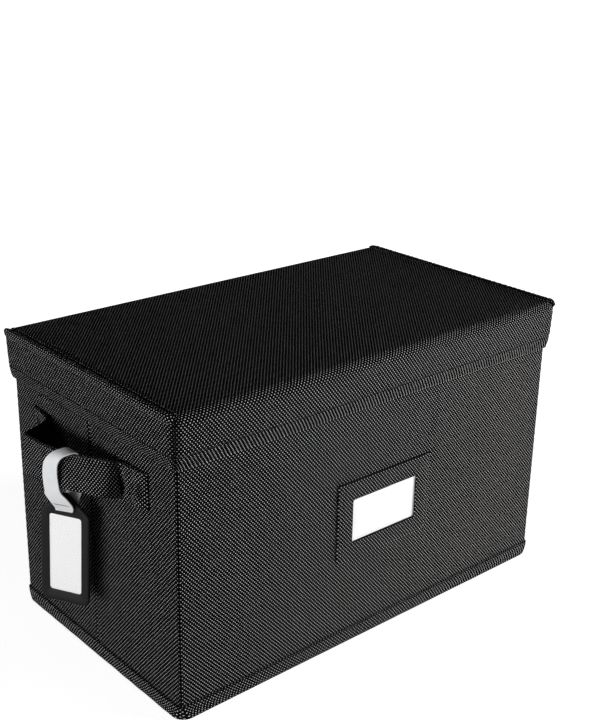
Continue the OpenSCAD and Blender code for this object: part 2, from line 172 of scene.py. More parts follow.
def sheetMesh(name, face, u, v, thick=cloth, closed=False, paintedShade=0):
    # A sheet: face[i, j] is its good side, and its back is the face moved in along its normals.
    # The normal is the cross product of the steps along i and j. Strips close the free edges.
    n, m = face.shape[:2]
    if closed:
        stepI = np.roll(face, -1, 0) - np.roll(face, 1, 0)
    else:
        stepI = np.gradient(face, axis=0)
    normal = np.cross(stepI, np.gradient(face, axis=1))
    normal /= np.maximum(np.linalg.norm(normal, axis=-1, keepdims=True), 1e-12)
    points = np.stack([face, face - thick * normal])
    u = np.broadcast_to(u, (n, m))
    v = np.broadcast_to(v, (n, m))
    uvAt = np.tile(np.stack([u, v], -1), (2, 1, 1, 1)).reshape(-1, 2)
    at = np.arange(2 * n * m).reshape(2, n, m)
    rows = np.arange(n if closed else n - 1)
    nextRow = (rows + 1) % n
    f, g = at[0], at[1]

    def joined(p, q, r, s):
        return np.stack([p, q, r, s], -1).reshape(-1, 4)

    parts = [
        joined(f[rows, :-1], f[nextRow, :-1], f[nextRow, 1:], f[rows, 1:]),
        joined(g[rows, :-1], g[rows, 1:], g[nextRow, 1:], g[nextRow, :-1]),
        joined(f[rows, 0], g[rows, 0], g[nextRow, 0], f[nextRow, 0]),
        joined(f[rows, -1], f[nextRow, -1], g[nextRow, -1], g[rows, -1]),
    ]
    if not closed:
        parts.append(joined(f[0, :-1], f[0, 1:], g[0, 1:], g[0, :-1]))
        parts.append(joined(f[-1, :-1], g[-1, :-1], g[-1, 1:], f[-1, 1:]))
    quads = np.concatenate(parts)
    uv = uvAt[quads]
    if closed:
        # the faces that cross the ring's join take the next turn's u
        spread = uv[..., 0].max(1) - uv[..., 0].min(1)
        ring = u.max() + (u[1, 0] - u[0, 0])
        late = (spread > ring / 2)[:, None] & (uv[..., 0] < ring / 2)
        uv[..., 0] = np.where(late, uv[..., 0] + ring, uv[..., 0])
    return quadMesh(name, points, quads, uv, paintedShade=np.broadcast_to(paintedShade, (2, n, m)))


def tubeMesh(name, rings, u, v, closed=False, paintedShade=None):
    # A solid band: rings[i, j] goes once round the band at each step i along it. Flat ends are fans
    # to each end's middle.
    n, m = rings.shape[:2]
    i = np.arange(n if closed else n - 1)[:, None]
    j = np.arange(m)[None, :]
    nextI, nextJ = (i + 1) % n, (j + 1) % m
    corners = (i * m + j, nextI * m + j, nextI * m + nextJ, i * m + nextJ)
    quads = np.stack(np.broadcast_arrays(*corners), -1).reshape(-1, 4)
    uu = np.broadcast_to(u, (n, m)).reshape(-1)
    vv = np.broadcast_to(v, (n, m)).reshape(-1)
    uv = np.stack([uu[quads], vv[quads]], -1)
    points = rings.reshape(-1, 3)
    if closed:
        return quadMesh(name, points, quads, uv, paintedShade=paintedShade)
    half = m // 2
    k = np.arange(half - 1)
    for base, turn in ((0, 1), ((n - 1) * m, -1)):
        cap = base + np.stack([k, k + 1, m - 2 - k, m - 1 - k], -1)[:, ::turn]
        quads = np.concatenate([quads, cap])
        uv = np.concatenate([uv, np.stack([uu[cap], vv[cap]], -1)])
    return quadMesh(name, points, quads, uv, paintedShade=paintedShade)


def settle(obj, material, body, slotName, *nodes):
    # Gives a finished piece its material and body, and hides the nodes that it stands for. Its slot name is not
    # used.
    obj.data.materials.append(material)
    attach(obj, body)
    if nodes:
        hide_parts(*nodes)
    return obj


def halfLength(side):
    # Half of a wall's length: the body's half length, or its half depth for the end walls.
    return bodyHalf[0] if side in ("front", "back") else bodyHalf[1]


def wallRun(side, straight, radius, cornerSteps=6):
    # One wall seen from above: straight places in the middle, and an eighth of a turn at each end.
    # core is the place along the wall as a share of its straight half, turn the angle round the corner.
    half, other = bodyHalf if side in ("front", "back") else bodyHalf[::-1]
    bend = np.linspace(math.pi / 4, 0, cornerSteps, endpoint=False)
    core = np.concatenate([-np.ones(cornerSteps), straight / (half - radius), np.ones(cornerSteps)])
    turn = np.concatenate([-bend, np.zeros(len(straight)), bend[::-1]])
    return {
        "core": core[:, None],
        "turn": turn[:, None],
        "half": half,
        "other": other,
        "radius": radius,
        "length": (core * (half - radius) + turn * radius)[:, None],
        "reach": half - radius + radius * math.pi / 4,
        "out": np.tile(sides[side][0], (len(core), 1))[:, None, :],
        "along": np.tile(sides[side][1], (len(core), 1))[:, None, :],
    }


def wallPoints(run, offset, z, radius):
    # The wall's outline grown by offset: straight runs stay parallel and corners stay round, with
    # the radius plus the offset. Past the corner's centre the outline stays sharp.
    grown = np.maximum(radius + offset, 0)
    inset = radius - np.minimum(radius + offset, 0)
    out = run["other"] - inset + grown * np.cos(run["turn"])
    along = run["core"] * (run["half"] - inset) + grown * np.sin(run["turn"])
    plan = run["out"] * out[..., None] + run["along"] * along[..., None]
    return np.concatenate([plan, np.broadcast_to(z, along.shape)[..., None]], -1)


def evenRun(side, radius, step, closeTo=(), closeReach=2.5 * mm, cornerSteps=6):
    # A wall's run with places about one step apart.
    half = halfLength(side) - radius
    return wallRun(side, spaced(-half, half, step, closeTo, closeReach), radius, cornerSteps)


def clothLength(run, radius):
    # Length along the cloth itself: the straight part, and the arc at its own radius.
    return run["core"] * (run["half"] - run["radius"]) + run["turn"] * np.maximum(radius, 0)


def allRound(radius, step):
    # The four walls end to end, as one run with a length that keeps counting.
    runs = [evenRun(side, radius, step) for side in sides]
    whole = {key: np.concatenate([run[key] for run in runs]) for key in ("core", "turn", "out", "along")}
    for key in ("half", "other"):
        whole[key] = np.concatenate([np.full((len(run["core"]), 1), run[key]) for run in runs])
    starts = np.cumsum([0] + [2 * run["reach"] for run in runs])
    lengths = [run["length"] + run["reach"] + start for run, start in zip(runs, starts)]
    whole["length"] = np.concatenate(lengths)
    return whole


def newMaterial(name):
    # A new material with its node tree and its shader.
    material = bpy.data.materials.new(name)
    material.use_nodes = True
    tree = material.node_tree
    return material, tree, tree.nodes["Principled BSDF"]


def addNode(tree, kind, inputs=(), **settings):
    # Makes a node, sets its options, and fills its inputs in order with numbers or links.
    node = tree.nodes.new(kind)
    for key, value in settings.items():
        setattr(node, key, value)
    for place, value in (inputs.items() if isinstance(inputs, dict) else enumerate(inputs)):
        if isinstance(value, bpy.types.NodeSocket):
            tree.links.new(value, node.inputs[place])
        elif value is not None:
            node.inputs[place].default_value = value
    return node


def calc(tree, operation, *values, clamp=False):
    # The result of a math node on numbers or links; clamp keeps it between 0 and 1.
    return addNode(tree, "ShaderNodeMath", values, operation=operation, use_clamp=clamp).outputs[0]


def times(tree, a, b):
    return calc(tree, "MULTIPLY", a, b)


def cosineCrown(tree, place):
    # A hump over each unit of place: the cosine of pi times how far it is from the unit's middle.
    fromMiddle = calc(tree, "SUBTRACT", calc(tree, "FRACT", place), 0.5)
    return calc(tree, "COSINE", times(tree, fromMiddle, math.pi))


def noise2D(tree, place, scale, detail):
    # Flat noise at a place, with features about one over the scale in size.
    inputs = {"Vector": place, "Scale": scale, "Detail": detail}
    return addNode(tree, "ShaderNodeTexNoise", inputs, noise_dimensions="2D")


def mixed(tree, factor, a, b):
    # Colour between a and b by the factor; each may be a link or a fixed colour.
    node = addNode(tree, "ShaderNodeMix", data_type="RGBA")
    for place, value in (("Factor", factor), ("A", a), ("B", b)):
        socket = next(one for one in node.inputs if one.name == place and one.enabled)
        if isinstance(value, bpy.types.NodeSocket):
            tree.links.new(value, socket)
        else:
            socket.default_value = value
    return next(one for one in node.outputs if one.enabled)


def withPaintedShade(tree, colour, floor):
    # Painted shade: the colour drawn down to a near black where the piece's painted shade attribute is high.
    paintedShade = addNode(tree, "ShaderNodeAttribute", attribute_name="paintedShade").outputs["Fac"]
    return mixed(tree, paintedShade, colour, (floor, floor, floor, 1))


def shade(tree, shader, colour, height, bumpStrength, bumpHeight, roughness, specular):
    # Fills the shader with a colour, a relief and its two gloss values.
    tree.links.new(colour, shader.inputs["Base Color"])
    relief = {"Strength": bumpStrength, "Distance": bumpHeight, "Height": height}
    tree.links.new(addNode(tree, "ShaderNodeBump", relief).outputs[0], shader.inputs["Normal"])
    shader.inputs["Roughness"].default_value = roughness
    shader.inputs["Specular IOR Level"].default_value = specular


weave = {
    "across": 1.38 * mm,  # spacing of the upright yarns
    "up": 1.58 * mm,  # spacing of the level yarns
    "dark": (0.0020, 0.0020, 0.0022, 1),
    "pale": (0.84, 0.84, 0.86, 1),
    "wander": 0.10,  # how far the yarns stray, in yarns
    "height": 0.30 * mm,
    "cut": 0.36,  # height of the level yarn's crown above which it looks pale
    "gain": 3.2,
}


def wovenCloth(name, strength=1.0):
    # Plain weave: upright black yarns and level pale ones pass over each other in turn, so the pale
    # yarn shows in every second cell. Each cell's crown is a product of cosines, longer along its yarn.
    material, tree, shader = newMaterial(name)
    place = addNode(tree, "ShaderNodeUVMap", uv_map="cloth").outputs[0]
    perMetre = (1 / weave["across"], 1 / weave["up"], 0)
    cells = addNode(tree, "ShaderNodeVectorMath", (place, perMetre), operation="MULTIPLY").outputs[0]
    stray = noise2D(tree, cells, 0.21, 3.0).outputs["Color"]
    stray = addNode(tree, "ShaderNodeVectorMath", (stray, (0.5, 0.5, 0.5)), operation="SUBTRACT").outputs[0]
    stray = addNode(tree, "ShaderNodeVectorMath", (stray,), operation="SCALE")
    stray.inputs["Scale"].default_value = weave["wander"] * 4
    cells = addNode(tree, "ShaderNodeVectorMath", (cells, stray.outputs[0]), operation="ADD").outputs[0]
    split = addNode(tree, "ShaderNodeSeparateXYZ", (cells,))
    a, b = split.outputs[0], split.outputs[1]
    crownA, crownB = cosineCrown(tree, a), cosineCrown(tree, b)
    cellA, cellB = calc(tree, "FLOOR", a), calc(tree, "FLOOR", b)
    level = calc(tree, "FLOORED_MODULO", calc(tree, "ADD", cellA, cellB), 2.0)
    levelShape = times(tree, calc(tree, "POWER", crownB, 4.0), calc(tree, "POWER", crownA, 3.0))
    uprightShape = times(tree, calc(tree, "POWER", crownA, 0.9), calc(tree, "POWER", crownB, 0.35))
    upright = calc(tree, "SUBTRACT", 1.0, level)
    # every cell, and every level yarn along its run, has its own lightness
    cellId = addNode(tree, "ShaderNodeCombineXYZ", (cellA, cellB, 0.0)).outputs[0]
    cellTone = addNode(tree, "ShaderNodeTexWhiteNoise", {"Vector": cellId}, noise_dimensions="2D").outputs[0]
    yarnId = (times(tree, a, 0.11), times(tree, cellB, 3.7), 0.0)
    yarnTone = noise2D(tree, addNode(tree, "ShaderNodeCombineXYZ", yarnId).outputs[0], 1.0, 2.0).outputs[0]
    tone = calc(tree, "ADD", times(tree, cellTone, 0.5), times(tree, yarnTone, 0.7))
    tone = times(tree, calc(tree, "ADD", tone, 0.55), weave["gain"] * strength)
    crest = calc(tree, "SUBTRACT", levelShape, weave["cut"], clamp=True)
    paleShare = calc(tree, "MULTIPLY", times(tree, level, crest), tone, clamp=True)
    strays = times(tree, times(tree, upright, uprightShape), times(tree, cellTone, 0.004))
    paleShare = calc(tree, "ADD", paleShare, strays, clamp=True)
    colour = mixed(tree, paleShare, weave["dark"], weave["pale"])
    height = calc(tree, "ADD", times(tree, level, levelShape), times(tree, upright, uprightShape))
    # painted shade from the piece's attribute darkens the weave in its seams and folds
    shade(tree, shader, withPaintedShade(tree, colour, 0.001), height, 0.6, weave["height"], 0.85, 0.03)
    return material


def speckled(name, dark, light, size, roughness, bumpHeight, specular=0.3, takesPaintedShade=False, others=()):
    # Two tones mixed by noise on Object coordinates, with the same noise as its relief. Where it is
    # marked, the piece's painted shade darkens it. others are more of the shader's inputs with their values.
    material, tree, shader = newMaterial(name)
    place = addNode(tree, "ShaderNodeTexCoord").outputs["Object"]
    noise = {"Vector": place, "Scale": 1 / size, "Detail": 4.0}
    grain = addNode(tree, "ShaderNodeTexNoise", noise).outputs[0]
    colour = mixed(tree, grain, (*dark, 1), (*light, 1))
    if takesPaintedShade:
        colour = withPaintedShade(tree, colour, 0.02)
    shade(tree, shader, colour, grain, 0.5, bumpHeight, roughness, specular)
    for key, value in others:
        shader.inputs[key].default_value = value
    return material


wallWeave = wovenCloth("woven_cloth")
shadedEndWeave = wovenCloth("woven_cloth_ends_painted_shade", strength=0.55)  # painted shade: a darker copy of the weave for the dimmer end panels
liningFinish = speckled("smooth_lining", (0.024, 0.025, 0.028), (0.046, 0.047, 0.052), 0.7 * mm, 0.8,
                        0.05 * mm, others=[("Sheen Weight", 0.1)])
boardFinish = speckled("greyboard", (0.20, 0.17, 0.13), (0.33, 0.29, 0.23), 1.5 * mm, 0.9, 0.05 * mm)
cardFinish = speckled("white_card", (0.93, 0.93, 0.93), (0.95, 0.95, 0.95), 0.8 * mm, 0.6, 0.003 * mm)
threadFinish = speckled("black_thread", (0.010, 0.010, 0.011), (0.03, 0.03, 0.032), 0.5 * mm, 0.6, 0.05 * mm)
tagFinish = speckled("black_satin", (0.011, 0.011, 0.012), (0.015, 0.015, 0.016), 0.35 * mm, 0.5,
                     0.012 * mm, specular=0.15)
# the loop takes the painted shade of its pressed crease
loopFinish = speckled("milky_loop", (0.68, 0.69, 0.70), (0.77, 0.78, 0.79), 5 * mm, 0.38, 0.01 * mm,
                      specular=0.4, takesPaintedShade=True)
filmFinish = speckled("clear_film", (0.9, 0.92, 0.94), (0.95, 0.96, 0.97), 6 * mm, 0.2, 0.003 * mm,
                      specular=0.4, others=[("Alpha", 0.03)])
print("materials made")


wallLook = {
    "radius": 3 * mm,  # corner radius of the walls
    "footRadius": 6 * mm,  # how much rounder the corners are at the floor
    "footHeight": 12 * mm,
    "rim": 4.6 * mm,  # thickness of the folded rim
    "turnDown": 12 * mm,  # depth of the cloth turned in over the rim
    "rimStitch": 10 * mm,
    "seamDepth": 0.7 * mm,
    "seamWidth": 0.7 * mm,
    "swell": 0.28 * mm,  # unevenness of the cloth over the boards
    "swellSizes": (110 * mm, 27 * mm),
    "pucker": 0.16 * mm,
    "puckerEvery": 6.8 * mm,
    "groove": (0.3 * mm, 0.5 * mm),  # depth and width under the rim's stitches
    "creaseDepth": 0.9 * mm,
    "creaseWidth": 1.0 * mm,
    "creaseLip": (0.25 * mm, 3.4 * mm, 2.2 * mm),  # a low ridge beside the crease: height, distance, width
    "slitY": 71.5 * mm,
    # the slits on each end wall, as places along it; the left strap's front foot lies a little further in
    "slits": {"left": ((67.4 * mm, 70.9 * mm), (-73.3 * mm, -70.0 * mm)),
              "right": ((70.0 * mm, 73.3 * mm), (-73.3 * mm, -70.0 * mm))},
    "slitHalf": 13.4 * mm,
    "slitDepth": 0.6 * mm,
    "handleZ": 160.5 * mm,
    # puckers above the handle, drawn down towards the strap: (place along, slope, top)
    "puckers": ((0.5 * mm, 0.05, 178 * mm), (32 * mm, 0.4, 181 * mm)),
    "seeds": {"front": 20, "right": 30, "back": 40, "left": 50},
}


def cornerRadius(z):
    # The corners grow rounder towards the floor, by the square of the share left below the foot height.
    low = np.clip(1 - z / wallLook["footHeight"], 0, 1)
    return wallLook["radius"] + wallLook["footRadius"] * low**2


def slitShare(side, s, z):
    # 1 inside the end wall's two upright slits, with a short edge.
    w = wallLook
    share = sum(inside(s, low, high, 0.4 * mm) for low, high in w["slits"][side])
    return share * inside(z, w["handleZ"] - w["slitHalf"], w["handleZ"] + w["slitHalf"], 0.6 * mm)


def wallRelief(side, s, z, reach, seed):
    # How far the cloth stands out at a place: swells, a groove at each corner seam with small puckers
    # beside it, the rim's stitch groove, and on the end walls the crease and the handle's slits.
    w = wallLook
    calm = 1 - inside(z, -1, hemTop, 8 * mm)
    calm = calm * (1 - ramp(z, lidLow + 4 * mm, rimZ))
    if side == "front":
        low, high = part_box("label_frame")
        # flat under the label and where its card slides up
        calm = calm * (1 - inside(s, low.x, high.x, 6 * mm) * inside(z, low.z, rimZ, 6 * mm))
    fromSeam = reach - np.abs(s)
    swell = swells(s, z, w["swellSizes"], w["swell"], seed)
    relief = (swell + 0.25 * mm) * calm * ramp(fromSeam, 0.5 * mm, 10 * mm)
    relief = relief - w["seamDepth"] * bell(fromSeam, 0, w["seamWidth"])
    relief = relief + seamPuckers(s, z, fromSeam, w["puckerEvery"], w["pucker"], seed + 2)
    depth, wide = w["groove"]
    relief = relief - depth * bell(z, rimZ - w["rimStitch"], wide)
    if side in ("left", "right"):
        away = np.abs(s)
        lip, lipAt, lipWide = w["creaseLip"]
        relief = relief - w["creaseDepth"] * bell(s, 0, w["creaseWidth"]) + lip * bell(away, lipAt, lipWide)
        relief = relief - w["slitDepth"] * slitShare(side, s, z)
        relief = relief - 0.35 * mm * bell(away, w["slitY"], 5 * mm) * bell(z, w["handleZ"], 18 * mm)
        for place, tilt, top in w["puckers"]:
            line = s - place - tilt * (top - z)
            drawn = bell(z, top - 8 * mm, 9 * mm)
            relief = relief - 0.9 * mm * bell(line, 0, 1.6 * mm) * drawn
            relief = relief + 0.6 * mm * bell(line, 3.2 * mm, 2.4 * mm) * drawn
    return relief


def wallPaintedShade(side, s, z, reach):
    # Painted shade: the cloth drawn darker for the shade in the corner seams, the crease and the slits, along the
    # stitches and in the puckers; painted shadow over the hem band, under the lid's edge, behind the strap's rear
    # bend and beside the label patch where it stands off the wall.
    w = wallLook
    seam, stitches = bell(reach - np.abs(s), 0, 0.75 * mm), bell(z, rimZ - w["rimStitch"], 0.45 * mm)
    hemEdgeShadow, lidEdgeShadow = bell(z, hemTop + 0.3 * mm, 0.6 * mm), bell(z, lidLow - 0.6 * mm, 1.2 * mm)
    paintedShade = 0.85 * seam + 0.45 * stitches + 0.6 * hemEdgeShadow + 0.5 * lidEdgeShadow
    if side in ("left", "right"):
        paintedShade = paintedShade + 0.6 * bell(s, 0, 0.7 * mm)
        paintedShade = paintedShade + slitShare(side, s, z)
        # painted shade in the puckers above the handle
        for place, tilt, top in w["puckers"]:
            line = s - place - tilt * (top - z)
            paintedShade = paintedShade + 0.5 * bell(line, -1 * mm, 1.6 * mm) * bell(z, top - 9 * mm, 8 * mm)
    if side == "left":
        # painted deep shade behind the strap's rear bend
        edge = 158.6 * mm + 0.39 * (-s - 26 * mm)
        under = ramp(z, 140 * mm, 147 * mm) * (1 - ramp(z, edge - 1 * mm, edge + 2.5 * mm))
        paintedShade = paintedShade + 0.95 * under * inside(-s, 33 * mm, 64 * mm, 7 * mm)
    # painted shadow in the gap at the label patch's open top and left edge, and painted shade at its right edge
    if side == "front":
        low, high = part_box("label_frame")
        top = bell(z, high.z + 0.3 * mm, 0.75 * mm) * inside(s, low.x - 0.5 * mm, high.x + 0.5 * mm, 1 * mm)
        left = bell(s, low.x - 0.5 * mm, 1.0 * mm) * inside(z, low.z + 3 * mm, high.z, 3 * mm)
        right = bell(s, high.x + 0.3 * mm, 0.5 * mm) * inside(z, low.z, high.z, 1 * mm)
        paintedShade = paintedShade + 1.3 * (top + left) + 0.35 * right
    return paintedShade


def wallProfile(side):
    # The cloth's line from the floor up the face, over the rim in a half circle, and down inside.
    w = wallLook
    bendR = w["rim"] / 2
    closeTo = [rimZ - w["rimStitch"], hemTop + 0.3 * mm]
    if side == "front":
        closeTo += [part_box("label_frame")[1].z]
    if side in ("left", "right"):
        closeTo += [w["handleZ"] - w["slitHalf"], w["handleZ"] + w["slitHalf"]]
    up = spaced(0.2 * mm, rimZ - bendR, 3.2 * mm, closeTo, 1.6 * mm)
    over = np.linspace(0, math.pi, 12)[1:]
    down = np.linspace(rimZ - bendR, rimZ - w["turnDown"], 6)[1:]
    offset = np.concatenate([0 * up, -bendR * (1 - np.cos(over)), np.full(len(down), -w["rim"])])
    z = np.concatenate([up, rimZ - bendR + bendR * np.sin(over), down])
    onFace = np.concatenate([np.ones(len(up)), np.clip(1 - over / 0.8, 0, 1), 0 * down])
    length = lengthsAlong(np.stack([offset, z], -1))
    return offset[None], z[None], onFace[None], length[None]


def makeWall(side):
    # The wall's profile carried along its run, standing out by the relief where it is on the face.
    straightHalf = halfLength(side) - wallLook["radius"]
    closeTo = [-straightHalf, straightHalf]
    if side in ("left", "right"):
        closeTo += [0] + [(low + high) / 2 for low, high in wallLook["slits"][side]]
    if side == "front":
        closeTo += [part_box("label_frame")[0].x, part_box("label_frame")[1].x]
    run = evenRun(side, wallLook["radius"], 3.6 * mm, closeTo, 3.2 * mm, 9)
    offset, z, onFace, length = wallProfile(side)
    relief = wallRelief(side, run["length"], z, run["reach"], wallLook["seeds"][side]) * onFace
    face = wallPoints(run, offset + relief, z, cornerRadius(z))
    paintedShade = wallPaintedShade(side, run["length"], z, run["reach"]) * onFace
    obj = sheetMesh(side + "_wall_cloth", face, run["length"], length, paintedShade=paintedShade)
    # the end walls take the darker copy of the weave: painted shade
    material = shadedEndWeave if side in ("left", "right") else wallWeave
    return settle(obj, material, "case", "woven_fabric", side + "_fabric")


for side in sides:
    makeWall(side)
print("walls made")


hem = {"out": 1.15 * mm, "flare": 0.45 * mm, "wave": 0.14 * mm, "lip": 0.5 * mm}


def makeHemBand():
    # One band all the way round: its line starts under the foot, goes up the outside, bulges a
    # little, and closes over its upper edge against the wall.
    run = allRound(wallLook["radius"], 2.4 * mm)
    under = np.array([-3.0, -1.5, -0.2, 0.5, 0.95]) * mm
    underZ = np.array([0.02, 0.02, 0.05, 0.3, 0.8]) * mm
    up = np.linspace(1.4 * mm, hemTop - 0.9 * mm, 12)
    share = up / hemTop
    outside = hem["out"] + hem["flare"] * (1 - share) ** 2 + 0.12 * mm * np.sin(math.pi * share)
    lip = np.linspace(0, math.pi, 7)[1:]
    lipOut = outside[-1] - hem["lip"] * (1 - np.cos(lip))
    lipZ = up[-1] + hem["lip"] * np.sin(lip)
    offset = np.concatenate([under + hem["flare"], outside, lipOut])[None]
    z = np.concatenate([underZ, up, lipZ])[None]
    s = run["length"]
    top = ramp(z, 5 * mm, hemTop)
    z = z + top * ripple(s, 0 * z, 34 * mm, 0.22 * mm, 5)
    offset = offset + inside(z, 1 * mm, hemTop, 1 * mm) * ripple(s, z, 16 * mm, hem["wave"], 6)
    face = wallPoints(run, offset, z, cornerRadius(z))
    length = lengthsAlong(np.stack([offset[0], z[0]], -1))
    obj = sheetMesh("hem_band_cloth", face, run["length"], length[None], thick=0.45 * mm, closed=True)
    return settle(obj, wallWeave, "case", "woven_fabric", "hem_band")


makeHemBand()


lid = {
    "hem": 10.5 * mm,  # height of the folded hem
    "lowOver": 2.1 * mm,  # overhang over the body at the lower edge
    "midOver": 4.5 * mm,  # at the stitch line
    "topOver": -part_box("lid_top_fabric")[0].x - bodyHalf[0],
    "roll": 7.5 * mm,  # radius of the soft front and back edges
    "endRoll": 2.2 * mm,
    "topEnd": 4.5 * mm,  # how far past the straight run the top cloth reaches at its corners
    "swell": 0.3 * mm,
    "swellSizes": (90 * mm, 22 * mm),
    "pucker": 0.14 * mm,
    "puckerEvery": 6 * mm,
    "hemBulge": 0.35 * mm,
    "groove": (0.55 * mm, 0.7 * mm),  # depth and width under the hem's stitches
    "seam": (0.7 * mm, 0.9 * mm),  # and along the corner seams
    "radius": 3 * mm,
    "board": 2.4 * mm,
    "boardFoot": 1.8 * mm,  # the boards stop this far above the stitches
    "seeds": {"front": 71, "back": 81, "left": 101, "right": 111},
}
stitchZ = lidLow + lid["hem"]


def lidOver(z):
    # Overhang of the lid at a height: one straight slope for the hem and one for the skirt.
    hemShare = np.clip((z - lidLow) / lid["hem"], 0, 1)
    skirtShare = np.clip((z - stitchZ) / (lidTop - stitchZ), 0, 1)
    hemOut, skirtOut = lid["midOver"] - lid["lowOver"], lid["topOver"] - lid["midOver"]
    return lid["lowOver"] + hemOut * hemShare + skirtOut * skirtShare


def skirtProfile(topZ):
    # The skirt's line: down the hem's inner ply, round its lower edge, up the outer ply and the skirt.
    inner = np.linspace(stitchZ - 0.8 * mm, lidLow + cloth, 6)
    bend = np.linspace(math.pi, 2 * math.pi, 8)[1:-1]
    outer = spaced(lidLow + cloth, topZ, 2.6 * mm, (stitchZ,), 2 * mm, 0.3 * mm)
    middle = lidOver(lidLow + cloth) - cloth
    offset = np.concatenate([lidOver(inner) - 2 * cloth, middle + cloth * np.cos(bend), lidOver(outer)])
    z = np.concatenate([inner, lidLow + cloth + cloth * np.sin(bend), outer])
    bulge = np.concatenate([0 * inner, 0 * bend, outer * 0 + 1])
    return offset, z, bulge


def lidRelief(s, z, reach, seed):
    # Swells over the board, the stitch groove, a soft bulge of the hem and a groove at each corner seam.
    fromSeam = reach - np.abs(s)
    share = np.clip((z - lidLow) / lid["hem"], 0, 1)
    relief = swells(s, z, lid["swellSizes"], lid["swell"], seed)
    relief = relief + lid["hemBulge"] * np.sin(math.pi * share) * (z < stitchZ)
    for (depth, wide), away in ((lid["groove"], z - stitchZ), (lid["seam"], fromSeam)):
        relief = relief - depth * bell(away, 0, wide)
    return relief + seamPuckers(s, z, fromSeam, lid["puckerEvery"], lid["pucker"], seed + 2)


def lidPaintedShade(s, z, reach):
    # Painted shade: dark lines in the corner seams and along the hem's stitches.
    return 0.85 * bell(reach - np.abs(s), 0, 0.8 * mm) + 0.75 * bell(z, stitchZ, 0.45 * mm)


def hemDrift(z):
    # The folded hem's cloth lies at a slant and is drawn tighter: extra length round and up, by height.
    below = np.clip(stitchZ - z, 0, lid["hem"])
    return 0.5 * below, -0.3 * below


def makeLidTop():
    # One cloth from the front skirt over the top to the back skirt. The top rolls into the skirts
    # in a quarter circle, and its two halves meet in the middle.
    half = bodyHalf[0] - lid["radius"]
    straight = spaced(-half, half, 3.6 * mm, (-half, half), 3 * mm)
    rollZ = lidTop - lid["roll"]
    offset, z, bulge = skirtProfile(rollZ)
    bend = np.linspace(0, math.pi / 2, 12)[1:]
    offset = np.concatenate([offset, lidOver(rollZ) - lid["roll"] * (1 - np.cos(bend))])[None]
    z = np.concatenate([z, rollZ + lid["roll"] * np.sin(bend)])[None]
    bulge = np.concatenate([bulge, 0.5 * (1 + np.cos(2 * bend))])[None]
    visible = np.concatenate([np.ones(z.size - len(bend)), np.cos(bend)])[None]
    over = np.concatenate([np.zeros(z.size - len(bend)), bend / bend[-1]])[None]
    halves = []
    for side in ("front", "back"):
        run = wallRun(side, straight, lid["radius"])
        relief = lidRelief(run["length"], z, run["reach"], lid["seeds"][side]) * bulge
        face = wallPoints(run, offset + relief, z, lid["radius"])
        # towards the top the cloth's ends draw out under the welts
        ends = run["core"] * half + lid["topEnd"] * run["turn"] / (math.pi / 4)
        plain = np.einsum("ijk,ijk->ij", face[..., :2], np.broadcast_to(run["along"], face[..., :2].shape))
        moved = (1 - over) * plain + over * ends
        face[..., :2] = face[..., :2] + run["along"] * (moved - plain)[..., None]
        halves.append(face)
    front, back = halves
    back = back[::-1]
    paintedShade = lidPaintedShade(run["length"], z, run["reach"]) * visible
    slant, tighter = hemDrift(z)
    share = np.linspace(0, 1, 60)[1:-1][None, :, None]
    first, last = front[:, -1:], back[:, -1:]
    middle = first + (last - first) * share
    hump = np.sin(math.pi * share[..., 0])
    middle[..., 2] += hump**0.5 * (ripple(middle[..., 0], middle[..., 1], 120 * mm, 0.2 * mm, 91) + 0.35 * mm)
    middle[..., 2] += 0.3 * mm * bell(np.abs(middle[..., 0]), bodyHalf[0] - 4.2 * mm, 1.6 * mm) * hump**0.3
    face = np.concatenate([front, middle, back[:, ::-1]], axis=1)
    flat = np.zeros((1, middle.shape[1]))
    drawnIn = np.concatenate([tighter, flat, -tighter[:, ::-1]], axis=1)
    aside = np.concatenate([slant, flat, slant[:, ::-1]], axis=1)
    v = lengthsAlong(face[face.shape[0] // 2])[None] + drawnIn
    u = clothLength(run, lid["radius"] + lid["topOver"]) + aside
    paintedShade = np.concatenate([paintedShade, flat + 0 * u[:, :1], paintedShade[::-1, ::-1]], axis=1)
    obj = sheetMesh("lid_top_cloth", face, u, v, paintedShade=paintedShade)
    nodes = ("lid_top_fabric", "lid_front_fabric", "lid_back_fabric")
    return settle(obj, wallWeave, "lid", "woven_fabric", *nodes)


def rollDrop(y):
    # How far the lid's outline, seen from its end, has dropped at a place across it.
    edge = bodyHalf[1] + lid["topOver"]
    past = np.clip((np.abs(y) - (edge - lid["roll"])) / lid["roll"], 0, 0.999)
    return lid["roll"] * (1 - np.sqrt(1 - past**2))


